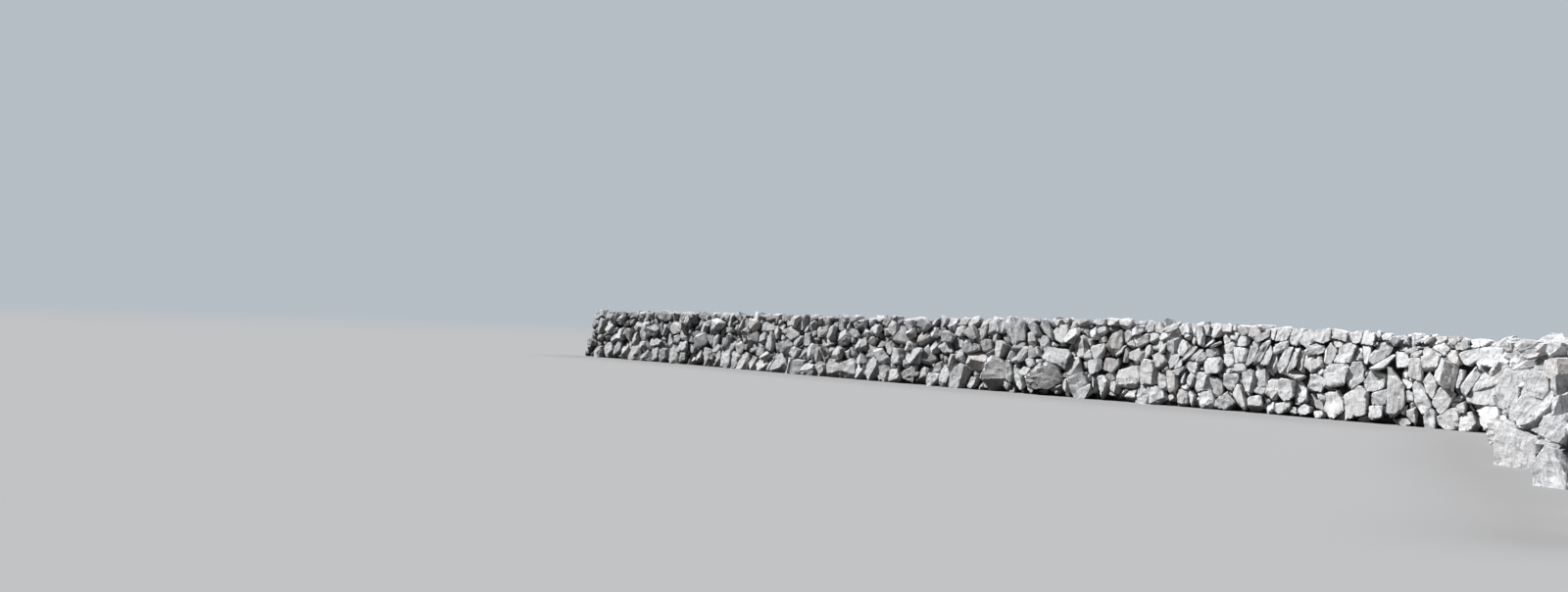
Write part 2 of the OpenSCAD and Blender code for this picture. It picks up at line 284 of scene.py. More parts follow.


# Stones of the long run, in stretches from left to right, each from its crest to its foot
SEEN_ON_LONG_RUN = (
    SeenStone(1003, 336, 9, 18, 20),
    SeenStone(1012, 334, 10, 18),
    SeenStone(1018.5, 334, 6, 15, -5),
    SeenStone(1023, 334, 6, 14, 8),
    SeenStone(1037, 337, 18, 24, turn=15),
    SeenStone(1052, 329, 9, 8, 40),
    SeenStone(1056, 336, 7, 18, -25),
    SeenStone(1065, 333, 8, 15, -25),
    SeenStone(1071, 341, 7, 20, -28),
    SeenStone(1079, 328, 6, 9, -20),
    SeenStone(1087, 327, 8, 8, 40),
    SeenStone(1084, 341, 18, 18, shade=0.1),
    SeenStone(1096, 332, 8, 12, 20),
    SeenStone(1106, 327, 9, 9),
    SeenStone(1107, 339, 9, 9, 20),
    SeenStone(1121, 328, 10, 9, shade=-0.3),
    SeenStone(1124, 337, 8, 10, 40),
    SeenStone(1135, 328, 12, 8),
    SeenStone(1147, 329, 10, 9, 20),
    SeenStone(1160, 337, 8, 14, 65),
    SeenStone(1174, 334, 9, 10, 20),
    SeenStone(1005, 352, 11, 14, shade=-0.25, proud=-0.01),
    SeenStone(1020, 356, 13, 19, shade=0.1),
    SeenStone(1037, 354, 8, 20, 60, shade=-0.2),
    SeenStone(1051, 346, 13, 17, shade=0.1),
    SeenStone(1066, 350, 10, 13, shade=-0.3, proud=-0.02),
    SeenStone(1058, 358, 6, 17, -20, shade=0.1),
    SeenStone(1103, 353, 13, 22, -5),
    SeenStone(1112, 348, 4, 12, -10),
    SeenStone(1121, 358, 13, 17),
    SeenStone(1110, 362, 8, 10, 50),
    SeenStone(1137, 348, 14, 26, 30, turn=12),
    SeenStone(1152, 343, 10, 14, 30),
    SeenStone(1166, 347, 8, 16, 62),
    SeenStone(1178, 344, 9, 12, 20),
    SeenStone(1142, 357, 4, 20, 52),
    SeenStone(1147, 362, 6, 16, shade=0.1),
    SeenStone(1160, 361, 15, 12),
    SeenStone(1171, 358, 7, 16, 15),
    SeenStone(1014, 380, 25, 33, 5, turn=25, proud=0.06),
    SeenStone(1027, 380, 8, 27, -5, turn=20),
    SeenStone(1042, 360, 8, 20, 25, shade=0.1),
    SeenStone(1035, 367, 7, 10, 50),
    SeenStone(1039, 385, 11, 28, -10, shade=0.2),
    SeenStone(1050, 369, 8, 13, 55, shade=0.1),
    SeenStone(1057, 375, 4, 16, 50),
    SeenStone(1066, 385, 34, 24, -8, turn=15, shade=0.15, proud=0.09),
    SeenStone(1080, 366, 26, 24, 20, shade=0.25, proud=0.08),
    SeenStone(1094, 374, 15, 19),
    SeenStone(1087, 394, 7, 22, -20, shade=0.1),
    SeenStone(1099, 393, 22, 26, -10, turn=15, shade=-0.15),
    SeenStone(1114, 391, 7, 20, shade=-0.4, proud=-0.06),
    SeenStone(1117, 374, 12, 16),
    SeenStone(1130, 372, 11, 17, 10, turn=20, shade=-0.1),
    SeenStone(1137, 374, 6, 22, 35),
    SeenStone(1134, 385, 9, 13, 10, shade=-0.4, proud=-0.04),
    SeenStone(1137, 394, 8, 11),
    SeenStone(1125, 393, 12, 27, -5, shade=0.15),
    SeenStone(1151, 385, 24, 24, 15, shade=0.15, proud=0.07),
    SeenStone(1171, 380, 17, 26, -3, shade=0.2, proud=0.06),
    SeenStone(1183, 336, 9, 12, 10),
    SeenStone(1194, 334, 7, 18, 68),
    SeenStone(1207, 336, 9, 13, 40),
    SeenStone(1213, 337, 5, 12, -10),
    SeenStone(1218, 338, 4, 14),
    SeenStone(1225, 341.5, 7.5, 22, 3, shade=0.05, proud=0.05),
    SeenStone(1232, 337, 7, 11, -5),
    SeenStone(1241, 338, 12, 13),
    SeenStone(1253, 335, 10, 8),
    SeenStone(1260, 335, 5, 8),
    SeenStone(1269, 336, 11, 10, turn=10),
    SeenStone(1280, 338, 12, 13),
    SeenStone(1290, 332, 7, 15, 70),
    SeenStone(1299, 339, 9, 14, 20),
    SeenStone(1198, 341, 7, 17, 62),
    SeenStone(1188, 343, 8, 9, 50),
    SeenStone(1186, 351, 9, 17),
    SeenStone(1196, 353, 11, 15, 10, shade=0.1),
    SeenStone(1206, 356, 11, 17, 25),
    SeenStone(1212, 342, 6, 9, 30),
    SeenStone(1217, 347, 4, 8, 20),
    SeenStone(1212, 361, 5, 22, 40),
    SeenStone(1220, 361, 4, 18, 42),
    SeenStone(1225, 366, 7, 13, 38),
    SeenStone(1234, 349, 3, 10, 50),
    SeenStone(1238, 352, 3, 13, 62),
    SeenStone(1236, 359, 10, 9, 20),
    SeenStone(1245, 363, 9, 20, 10, shade=-0.6, proud=-0.12),
    SeenStone(1251, 345.5, 10, 12, shade=0.2),
    SeenStone(1255, 354, 13, 15, -15, shade=0.15),
    SeenStone(1260, 342, 9, 8),
    SeenStone(1268, 347.5, 10, 10),
    SeenStone(1265, 362, 14, 17),
    SeenStone(1254, 368, 11, 13, 5),
    SeenStone(1264, 375, 12, 9, 20, shade=-0.15),
    SeenStone(1276, 364, 9, 23, 22),
    SeenStone(1286.5, 359, 10, 36, 38, proud=0.07),
    SeenStone(1288, 343, 6, 20, 60),
    SeenStone(1291, 364, 9, 20, 15, turn=15),
    SeenStone(1299, 371, 7, 22, 12),
    SeenStone(1182, 367, 13, 18, -20),
    SeenStone(1196, 368, 9, 18, 30),
    SeenStone(1202, 370, 4, 15, 35),
    SeenStone(1216, 375, 11, 13),
    SeenStone(1239, 373, 18, 18, -40, proud=0.06),
    SeenStone(1186, 390, 8, 22),
    SeenStone(1196, 390, 12, 27, -8),
    SeenStone(1207, 385, 6, 15, 5),
    SeenStone(1214, 387, 9, 12, shade=-0.2),
    SeenStone(1226, 388, 13, 20),
    SeenStone(1241, 395, 12, 22, shade=-0.5, proud=-0.02),
    SeenStone(1255, 388, 17, 19, 15, turn=15),
    SeenStone(1273, 387, 15, 25, proud=0.06),
    SeenStone(1286, 386, 11, 24),
    SeenStone(1181, 403, 18, 18),
    SeenStone(1206, 405, 13, 14),
    SeenStone(1216, 405, 5, 16, -5),
    SeenStone(1231, 408, 14, 21),
    SeenStone(1248, 408, 17, 15, 30, turn=20),
    SeenStone(1263, 405, 11, 29, -18),
    SeenStone(1280, 410, 13, 17),
    SeenStone(1297, 396, 13, 24, 20, turn=15),
    SeenStone(1308, 341, 15, 18, 20),
    SeenStone(1323, 342, 13, 20, 40),
    SeenStone(1333, 347, 13, 16, 15),
    SeenStone(1350, 343, 17, 13),
    SeenStone(1367, 342, 17, 15),
    SeenStone(1383, 342, 15, 17),
    SeenStone(1397, 344, 13, 20, 35),
    SeenStone(1306, 354, 9, 24, 55),
    SeenStone(1341, 356, 9, 19, 78),
    SeenStone(1364, 350, 10, 8),
    SeenStone(1309, 370, 9, 37, 25, turn=10, proud=0.07),
    SeenStone(1318.5, 369, 9, 40, 25, turn=20, proud=0.1),
    SeenStone(1326, 370, 7, 24, 8),
    SeenStone(1339, 371, 20, 17, -10),
    SeenStone(1355, 360, 10, 28, 8, turn=30, proud=0.07),
    SeenStone(1373, 360, 16, 25, 58),
    SeenStone(1394, 364, 9, 31, 3, shade=0.1),
    SeenStone(1382, 379, 16, 26, 25, turn=25, shade=-0.3, proud=0.0),
    SeenStone(1361, 382, 21, 29, 5, proud=0.07),
    SeenStone(1383, 389, 9, 19, 45, shade=-0.15),
    SeenStone(1342, 390, 17, 20, shade=-0.15),
    SeenStone(1312, 398, 20, 21, proud=0.06),
    SeenStone(1328, 400, 12, 27, 5, shade=0.1),
    SeenStone(1341, 409, 12, 16, shade=-0.5, proud=-0.06),
    SeenStone(1359, 412, 20, 29),
    SeenStone(1383, 410, 25, 34),
    SeenStone(1308, 414, 16, 11),
    SeenStone(1330, 417, 9, 14, 75, shade=-0.2),
    SeenStone(1401, 388, 19, 24, 20),
    SeenStone(1405, 404, 13, 18, 15, turn=20, shade=-0.3),
    SeenStone(1403, 420, 14, 13),
    SeenStone(1406, 341, 6, 12, 10),
    SeenStone(1414, 341, 7, 18, 45),
    SeenStone(1424, 344, 8, 22, 38),
    SeenStone(1436, 345, 5, 14, 35),
    SeenStone(1443, 346, 13, 15, 10),
    SeenStone(1452, 346, 4, 16, 65),
    SeenStone(1458, 345, 5, 17, 60),
    SeenStone(1469, 347, 15, 12),
    SeenStone(1483, 346, 11, 8),
    SeenStone(1493, 351, 16, 11),
    SeenStone(1510, 351, 13, 9),
    SeenStone(1406, 358, 14, 34, 45),
    SeenStone(1411, 371, 8, 24, 70, proud=0.06),
    SeenStone(1440, 355, 8, 15, 65),
    SeenStone(1444, 362, 10, 7, -10, shade=-0.2),
    SeenStone(1459, 366, 20, 26, 15, shade=0.1),
    SeenStone(1472, 356, 15, 10, 20),
    SeenStone(1484, 362, 15, 15, 15),
    SeenStone(1501, 363, 15, 24, 65),
    SeenStone(1430, 368, 15, 19),
    SeenStone(1444, 376, 13, 25, 5),
    SeenStone(1422, 402, 22, 58, -1, shade=0.1, proud=0.01),
    SeenStone(1476, 381, 24, 32, 20, turn=38, shade=-0.35, proud=0.05),
    SeenStone(1487, 387, 13, 20, 5, shade=0.1),
    SeenStone(1500, 391, 15, 38, 30),
    SeenStone(1516, 396, 23, 44, 38, proud=0.05),
    SeenStone(1459, 393, 13, 22, -15, shade=-0.1),
    SeenStone(1448, 405, 17, 32, -28),
    SeenStone(1473, 406, 18, 28, 35),
    SeenStone(1492, 415, 9, 14, 75, shade=-0.2),
    SeenStone(1440, 424, 9, 17, shade=-0.3, proud=-0.02),
    SeenStone(1458, 426, 13, 20, 10),
    SeenStone(1477, 425, 25, 20),
    SeenStone(1497, 431, 22, 17),
    SeenStone(1521, 422, 30, 27, 20),
)

# Stones of the return run. It is seen nearly along its face, and each shows its broad side
SEEN_ON_RETURN_RUN = (
    SeenStone(1557, 466, 46, 60, 8),
    SeenStone(1588, 484, 28, 54, -10),
    SeenStone(1564, 421, 28, 40, 30),
    SeenStone(1548, 396, 26, 42, 15),
    SeenStone(1593, 441, 20, 30, 20, shade=-0.15),
    SeenStone(1537, 441, 24, 20),
    SeenStone(1584, 411, 9, 34, 35),
    SeenStone(1597, 414, 12, 20),
    SeenStone(1577, 393, 24, 20, 10),
    SeenStone(1595, 393, 12, 18),
    SeenStone(1537, 384, 9, 36, 45),
    SeenStone(1592, 374, 18, 19),
    SeenStone(1575, 380, 12, 10, 20, shade=-0.2),
    SeenStone(1566, 371, 7, 26, 70),
    SeenStone(1573, 360, 7, 30, 70),
    SeenStone(1527, 365, 24, 18, 10),
    SeenStone(1545, 353, 12, 11),
    SeenStone(1557, 351, 9, 14, 50),
    SeenStone(1569, 352, 9, 14, 50),
    SeenStone(1581, 354, 9, 15, 60),
    SeenStone(1594, 356, 14, 12),
)


@dataclass(frozen=True)
class Sizes:
    """Limits of the half sizes of a stone."""

    half_length: tuple[float, float]
    half_height: tuple[float, float]
    half_depth: tuple[float, float]

    def draw(self, rng: np.random.Generator) -> tuple[float, float, float]:
        """Half length, half height and half depth of one stone."""
        return rng.uniform(*self.half_length), rng.uniform(*self.half_height), rng.uniform(*self.half_depth)


@dataclass(frozen=True)
class StoneKind:
    """One kind of stone that the mason looks for.

    It has limits of its heights, and the mean and spread of its lean and of how proud of the face it is.
    """

    name: str
    sizes: Sizes
    heights: tuple[float, float]
    lean: tuple[float, float]
    tries_a_metre: int
    proud: tuple[float, float] = (0.0, 0.055)


@dataclass(frozen=True)
class StoneRow:
    """A row of stones that are laid side by side.

    It keeps clear of the wall's start and end. The skew is the spread of the stones' small turns, the spacing
    is in half lengths, and the step is how far the mason moves on where there is no room.
    """

    sizes: Sizes
    clear_start: float
    clear_end: float
    skew: float
    spacing: float
    step: float


FACE_KINDS = (
    StoneKind("boulder", Sizes((0.16, 0.24), (0.16, 0.24), (0.16, 0.2)), (0.35, 1.1), (0.15, 0.3), 40),
    StoneKind("upright slab", Sizes((0.08, 0.12), (0.17, 0.26), (0.15, 0.19)), (0.2, 1.35), (0.25, 0.3), 60),
    StoneKind("block", Sizes((0.12, 0.19), (0.12, 0.18), (0.13, 0.18)), (0.12, 1.55), (0.15, 0.5), 130),
    StoneKind("flat stone", Sizes((0.14, 0.22), (0.08, 0.12), (0.13, 0.18)), (0.12, 1.55), (0.0, 0.35), 80),
    StoneKind("middling", Sizes((0.10, 0.13), (0.10, 0.14), (0.11, 0.14)), (0.10, 1.55), (0.2, 0.6), 150),
)
FILLING_KINDS = (
    StoneKind("small stone", Sizes((0.06, 0.09), (0.06, 0.09), (0.07, 0.10)), (0.06, 1.5), (0.0, 0.8),
              160, (-0.03, 0.02)),
    StoneKind("pinning stone", Sizes((0.035, 0.055), (0.035, 0.055), (0.05, 0.08)), (0.05, 1.3), (0.0, 0.9),
              60, (-0.07, 0.02)),
)
FOOTING_ROW = StoneRow(Sizes((0.13, 0.26), (0.16, 0.28), (0.16, 0.2)), 0.45, 0.3, 0.15, 1.9, 0.06)
CREST_ROW = StoneRow(Sizes((0.09, 0.2), (0.10, 0.2), (0.2, 0.25)), 0.5, 0.2, 0.16, 1.7, 0.05)


@dataclass
class Masonry:
    """Stones that are laid: where each is, how it is turned, and how large and how pale it is.

    A stone's basis has its half length, half height and half depth as the lengths of its columns. Its
    facets are rows w, and the stone is where w times the offset from its centre stays under 1.
    """

    s: list[float] = field(default_factory=list)
    sides: list[int] = field(default_factory=list)
    heights: list[float] = field(default_factory=list)
    tones: list[float] = field(default_factory=list)
    seen: list[bool] = field(default_factory=list)
    centres: list[np.ndarray] = field(default_factory=list)
    bases: list[np.ndarray] = field(default_factory=list)
    facets: list[np.ndarray] = field(default_factory=list)

    def __len__(self) -> int:
        """Number of stones."""
        return len(self.s)


def turned(axis: np.ndarray, angle: float) -> np.ndarray:
    """Rotation matrix about an axis.

    It is the identity, plus the axis's cross product as a matrix times the sine of the turn, plus that
    matrix squared times one less the cosine.

    Args:
        axis: a unit vector.
        angle: the turn about it.

    Returns:
        The matrix.
    """
    x, y, z = axis
    cross = np.array([[0.0, -z, y], [z, 0.0, -x], [-y, x, 0.0]])
    return np.eye(3) + math.sin(angle) * cross + (1.0 - math.cos(angle)) * cross @ cross


class Mason:
    """Lays stones one after another, the largest first, each clear of those that are laid already.

    A table pairs distances along the wall with the values there.
    """

    # Room: how close stones come, as a share of their reaches, how far round a stone is looked at, and the
    # most stones that are laid
    CLOSENESS = 0.8
    REACH = 1.6
    CAPACITY = 8000

    # Facets: their numbers, and their slopes, directions and distances in a stone's unit space
    SQUARE_SIDES = 4
    SIDES = 6
    BEVELS = 3
    CORNER_CUTS = 5
    FACETS = SIDES + 2 * (1 + BEVELS) + CORNER_CUTS
    SLANTS = (0.2, 0.34, 0.2, 0.34)
    SIDE_TILT = 0.16
    SIDE_REACH = (0.86, 1.04)
    CUT_REACH = (0.95, 1.25)
    SHALLOWEST = 0.08
    STEEPEST = ((0.0, 15.0, 20.0), (0.6, 0.55, 0.4))
    BEYOND_RIDGE = (0.5, 1.0)
    BEVEL_SLOPE = (0.5, 1.1)
    FACING = math.radians(135.0)
    FACING_SPREAD = (0.8, 0.6)
    RIDGE = ((0.0, 10.0, 15.0, 20.0, 22.0), (0.25, 0.22, 0.26, 0.6, 1.3))
    RIDGE_SHIFT = (-0.25, 0.25)
    RIM = (0.6, 0.95)
    END_REACH = (0.92, 1.02)
    BREADTH = ((0.0, 15.0, 19.0), (0.0, 0.0, 1.0))
    BROADER_RIM = 0.5
    BROADER_CORNER = 0.25

    # Tones: how pale stones are along the wall, which is partly their own tone and partly painted light,
    # darker towards the wall head and palest near the corner; what a shade of 1 adds; and the spread of the
    # shades
    PALENESS_AND_LIGHT = ((0.0, 12.0, 16.0, 19.0, 22.0, 24.0, 25.0), (0.36, 0.52, 0.66, 0.86, 0.95, 0.86, 0.58))
    SHADING = 0.7
    SHADE_SPREAD = 0.2

    # Searching: shares of a stone's half sizes that it keeps from the ground, the ends and the crest
    FROM_GROUND = 0.85
    FROM_END = 0.8
    FROM_CREST = 0.9
    SKEW = 0.24
    PROUD_LIMIT = 0.12
    SLAB_STRETCH = 9.5
    SLAB_SETBACK = 0.1

    # Footing: how high boulders sit, in half heights, and the mean and spread of their stand and lean
    BOULDER_SEAT = 0.88
    BOULDER_PROUD = (0.03, 0.03)
    BOULDER_LEAN = (0.04, 0.13)

    # Crest: the cope stones' mean lean and its spread, and how near their tops come to the crest line
    COPE_LEAN = ((0.0, 14.0, 20.0), (0.1, 0.35, 0.6))
    COPE_LEAN_SPREAD = 0.4
    COPE_TOP = 0.95
    COPE_TOP_SPREAD = 0.015

    # Ends of the wall: sizes of the through stones, and the least height that another one fills
    END_HALF_LENGTH = 0.2
    END_HALF_HEIGHT = (0.14, 0.2)
    END_LEAST = 0.16
    END_SETBACK = 0.01
    END_SKEW = 0.05

    def __init__(self, plan: WallPlan, rng: np.random.Generator) -> None:
        """Starts with no stones.

        Args:
            plan: the wall's plan and section.
            rng: the source of every choice.
        """
        self.plan = plan
        self.rng = rng
        self.masonry = Masonry()
        self.spots = np.full((self.CAPACITY, 3), FAR_AWAY)
        self.facets = np.zeros((self.CAPACITY, self.FACETS, 3))

    def basis(self, s: float, side: Side, half: tuple[float, float, float], lean: float,
              skew: np.ndarray) -> np.ndarray:
        """A stone's basis: its own axes at its place, each as long as its half size.

        Args:
            s: distance along the wall.
            side: the face, or through.
            half: half length, half height and half depth.
            lean: angle from the upright, positive where the top leans along the wall.
            skew: small turns about the upright and about the wall's two level directions.

        Returns:
            A matrix whose columns are the three scaled axes.
        """
        along = self.plan.along(s)
        outward = self.plan.backward(s) * (side.value or Side.FRONT.value)
        axes = np.stack([along, UP, outward], 1)
        for axis, angle in ((np.cross(UP, along), lean), (UP, skew[0]), (along, skew[1]), (outward, skew[2])):
            axes = turned(axis, angle) @ axes
        return axes * np.array(half)

    def split_facets(self, basis: np.ndarray, s: float, steepest: float) -> np.ndarray:
        """Facets of a rough stone that fills its basis.

        In the stone's unit space four tilted sides stand square round it, and two more cut its outline
        somewhere. Each end has a broad facet, a steeper one on the other side of a ridge, and bevels that cut
        its rim. A few planes in random directions cut the corners. The broad facets mostly look up and
        against the lean of the slabs, so that every stone stands out a little over the next one. Near the
        corner of the wall the rims and corners are cut less, which leaves the stones broader.

        Args:
            basis: the stone's basis.
            s: distance along the wall, which decides where the ridge is and how broad the stone stays.
            steepest: the largest slope of the broad facets.

        Returns:
            One row for each facet: its normal over its distance from the centre.
        """
        rng = self.rng
        ridge = float(np.interp(s, *self.RIDGE))
        breadth = float(np.interp(s, *self.BREADTH))
        cuts = self.SIDES - self.SQUARE_SIDES
        turn = np.append(0.5 * np.pi * np.arange(self.SQUARE_SIDES) + rng.normal(0.0, self.SLANTS),
                         rng.uniform(0.0, 2.0 * np.pi, cuts))
        normals = [np.stack([np.cos(turn), np.sin(turn), rng.normal(0.0, self.SIDE_TILT, self.SIDES)], 1)]
        reaches = [np.append(rng.uniform(*self.SIDE_REACH, self.SQUARE_SIDES),
                             rng.uniform(*self.CUT_REACH, cuts))]
        for end in (1.0, -1.0):
            slope = np.append([rng.uniform(self.SHALLOWEST, steepest), rng.uniform(*self.BEYOND_RIDGE)],
                              rng.uniform(*self.BEVEL_SLOPE, self.BEVELS - 1))
            around = np.append(self.FACING + rng.normal([0.0, np.pi], self.FACING_SPREAD),
                               rng.uniform(0.0, 2.0 * np.pi, self.BEVELS - 1))
            normals.append(np.stack([np.sin(slope) * np.cos(around), np.sin(slope) * np.sin(around),
                                     np.cos(slope) * end], 1))
            rims = rng.uniform(*self.RIM, self.BEVELS - 1) + self.BROADER_RIM * breadth
            crossing = np.append([0.0, ridge + rng.uniform(*self.RIDGE_SHIFT)], rims)
            reaches.append(np.sin(slope) * crossing + np.cos(slope) * rng.uniform(*self.END_REACH))
        normals.append(rng.normal(size=(self.CORNER_CUTS, 3)))
        reaches.append(rng.uniform(*self.CUT_REACH, self.CORNER_CUTS) + self.BROADER_CORNER * breadth)
        normal = np.concatenate(normals)
        normal /= np.linalg.norm(normal, axis=1, keepdims=True)
        return normal @ np.linalg.inv(basis) / np.concatenate(reaches)[:, None]

    def is_clear(self, centre: np.ndarray, facets: np.ndarray) -> bool:
        """Whether a new stone keeps clear of the stones that are laid.

        Two stones are clear when their centres are further apart than a share, the closeness, of both
        reaches along the line between them. The cutter trims them where they still meet.

        Args:
            centre: the new stone's centre.
            facets: its facets.

        Returns:
            Whether it is clear of all of them.
        """
        count = len(self.masonry)
        offsets = self.spots[:count] - centre
        near = np.abs(offsets).max(1, initial=0.0) < self.REACH
        offsets = offsets[near]
        gaps = np.linalg.norm(offsets, axis=1)
        directions = offsets / gaps[:, None]
        mine = 1.0 / (directions @ facets.T).max(1)
        theirs = 1.0 / np.einsum("nkj,nj->nk", self.facets[:count][near], -directions).max(1)
        return bool(np.all(gaps > self.CLOSENESS * (mine + theirs)))

    def lay(self, s: float, side: Side, centre: np.ndarray, basis: np.ndarray, facets: np.ndarray,
            shade: float | None = None) -> None:
        """Adds a stone, as pale as those about it but for its shade.

        Args:
            s: distance along the wall.
            side: the face, or through.
            centre: its centre in the row frame.
            basis: its scaled axes.
            facets: its facets.
            shade: how much paler it is, partly painted shadow, which only a stone that is seen in the
                photograph comes with.
        """
        index = len(self.masonry)
        self.spots[index] = centre
        self.facets[index] = facets
        self.masonry.facets.append(facets)
        self.masonry.s.append(s)
        self.masonry.sides.append(side.value)
        self.masonry.heights.append(float(centre[2]))
        self.masonry.seen.append(shade is not None)
        shade = float(self.rng.normal(0.0, self.SHADE_SPREAD)) if shade is None else shade
        # The paleness along the wall is partly painted light: the stretches that are less lit are darker.
        self.masonry.tones.append(float(np.interp(s, *self.PALENESS_AND_LIGHT)) + self.SHADING * shade)
        self.masonry.centres.append(centre)
        self.masonry.bases.append(basis)

    def seat(self, s: float, side: Side, z: float, half: tuple[float, float, float], lean: float,
             proud: float, skew: np.ndarray) -> bool:
        """Lays a stone against a face of the wall if there is room for it.

        Args:
            s: distance along the wall.
            side: the face, or through.
            z: height of its centre.
            half: half length, half height and half depth.
            lean: angle from the upright.
            proud: how far its outermost point stands out of the face.
            skew: small turns about the wall's own directions.

        Returns:
            Whether the stone is laid.
        """
        across = side.value * (float(self.plan.half_width(z)) + proud - half[2])
        centre = self.plan.place(s, across, z)
        basis = self.basis(s, side, half, lean, skew)
        facets = self.split_facets(basis, s, float(np.interp(s, *self.STEEPEST)))
        if len(self.masonry) and not self.is_clear(centre, facets):
            return False
        self.lay(s, side, centre, basis, facets)
        return True

    def held_back(self, s: float, side: Side) -> float:
        """How far stones stay behind the face, where large slabs stand out of the return run."""
        start, length = self.plan.corner_end, self.SLAB_STRETCH
        return self.SLAB_SETBACK if side is Side.FRONT and start < s < start + length else 0.0

    def search(self, kind: StoneKind, side: Side) -> None:
        """Tries to lay stones of one kind all along one face.

        Args:
            kind: the kind of stone.
            side: the face.
        """
        plan, rng = self.plan, self.rng
        laid = 0
        for _ in range(int(kind.tries_a_metre * plan.length)):
            half = kind.sizes.draw(rng)
            z = max(rng.uniform(*kind.heights), half[1] * self.FROM_GROUND)
            clear = half[0] * self.FROM_END
            s = rng.uniform(float(plan.rake(z)) + clear, plan.length - clear)
            lean = rng.normal(*kind.lean)
            skew = rng.normal(0.0, self.SKEW, 3)
            proud = float(np.clip(rng.normal(*kind.proud), -self.PROUD_LIMIT, self.PROUD_LIMIT))
            if z + half[1] * self.FROM_CREST > plan.crest(s):
                continue
            laid += self.seat(s, side, z, half, lean, proud - self.held_back(s, side), skew)
        LOG.info("%s, %s: %d", kind.name, side.name.lower(), laid)

    def lay_footing(self, side: Side) -> None:
        """Sets boulders side by side on the ground.

        Args:
            side: the face that they stand in.
        """
        rng, row = self.rng, FOOTING_ROW
        s = row.clear_start
        while s < self.plan.length - row.clear_end:
            half = row.sizes.draw(rng)
            proud = rng.normal(*self.BOULDER_PROUD) - self.held_back(s, side)
            laid = self.seat(s + half[0], side, half[1] * self.BOULDER_SEAT, half,
                             rng.normal(*self.BOULDER_LEAN), proud, rng.normal(0.0, row.skew, 3))
            s += half[0] * row.spacing if laid else row.step

    def lay_crest(self) -> None:
        """Sets the top row of cope stones across the wall, each with its top at about the crest line."""
        rng, row = self.rng, CREST_ROW
        s = row.clear_start
        while s < self.plan.length - row.clear_end:
            half = row.sizes.draw(rng)
            lean = rng.normal(float(np.interp(s, *self.COPE_LEAN)), self.COPE_LEAN_SPREAD)
            skew = rng.normal(0.0, row.skew, 3)
            basis = self.basis(s, Side.THROUGH, half, lean, skew)
            below = self.COPE_TOP * float(np.linalg.norm(basis[2]))
            z = float(self.plan.crest(s)) + rng.normal(0.0, self.COPE_TOP_SPREAD) - below
            laid = self.seat(s, Side.THROUGH, z, half, lean, 0.0, skew)
            s += float(np.linalg.norm(basis[:2, :2])) * row.spacing if laid else row.step

    def lay_end(self, inset: float, raked: bool) -> None:
        """Lays a stack of through stones at an end of the wall.

        Args:
            inset: distance of their centres along the wall, at the ground.
            raked: whether they lean back with the wall head.
        """
        z = 0.0
        crest = float(self.plan.crest(inset))
        while z < crest - self.END_LEAST:
            half_height = min(self.rng.uniform(*self.END_HALF_HEIGHT), (crest - z) / 2.0)
            middle = z + half_height
            s = inset + (float(self.plan.rake(middle)) if raked else 0.0)
            half_depth = float(self.plan.half_width(middle)) - self.END_SETBACK
            self.seat(s, Side.THROUGH, middle, (self.END_HALF_LENGTH, half_height, half_depth), 0.0, 0.0,
                      self.rng.normal(0.0, self.END_SKEW, 3))
            z += 2.0 * half_height


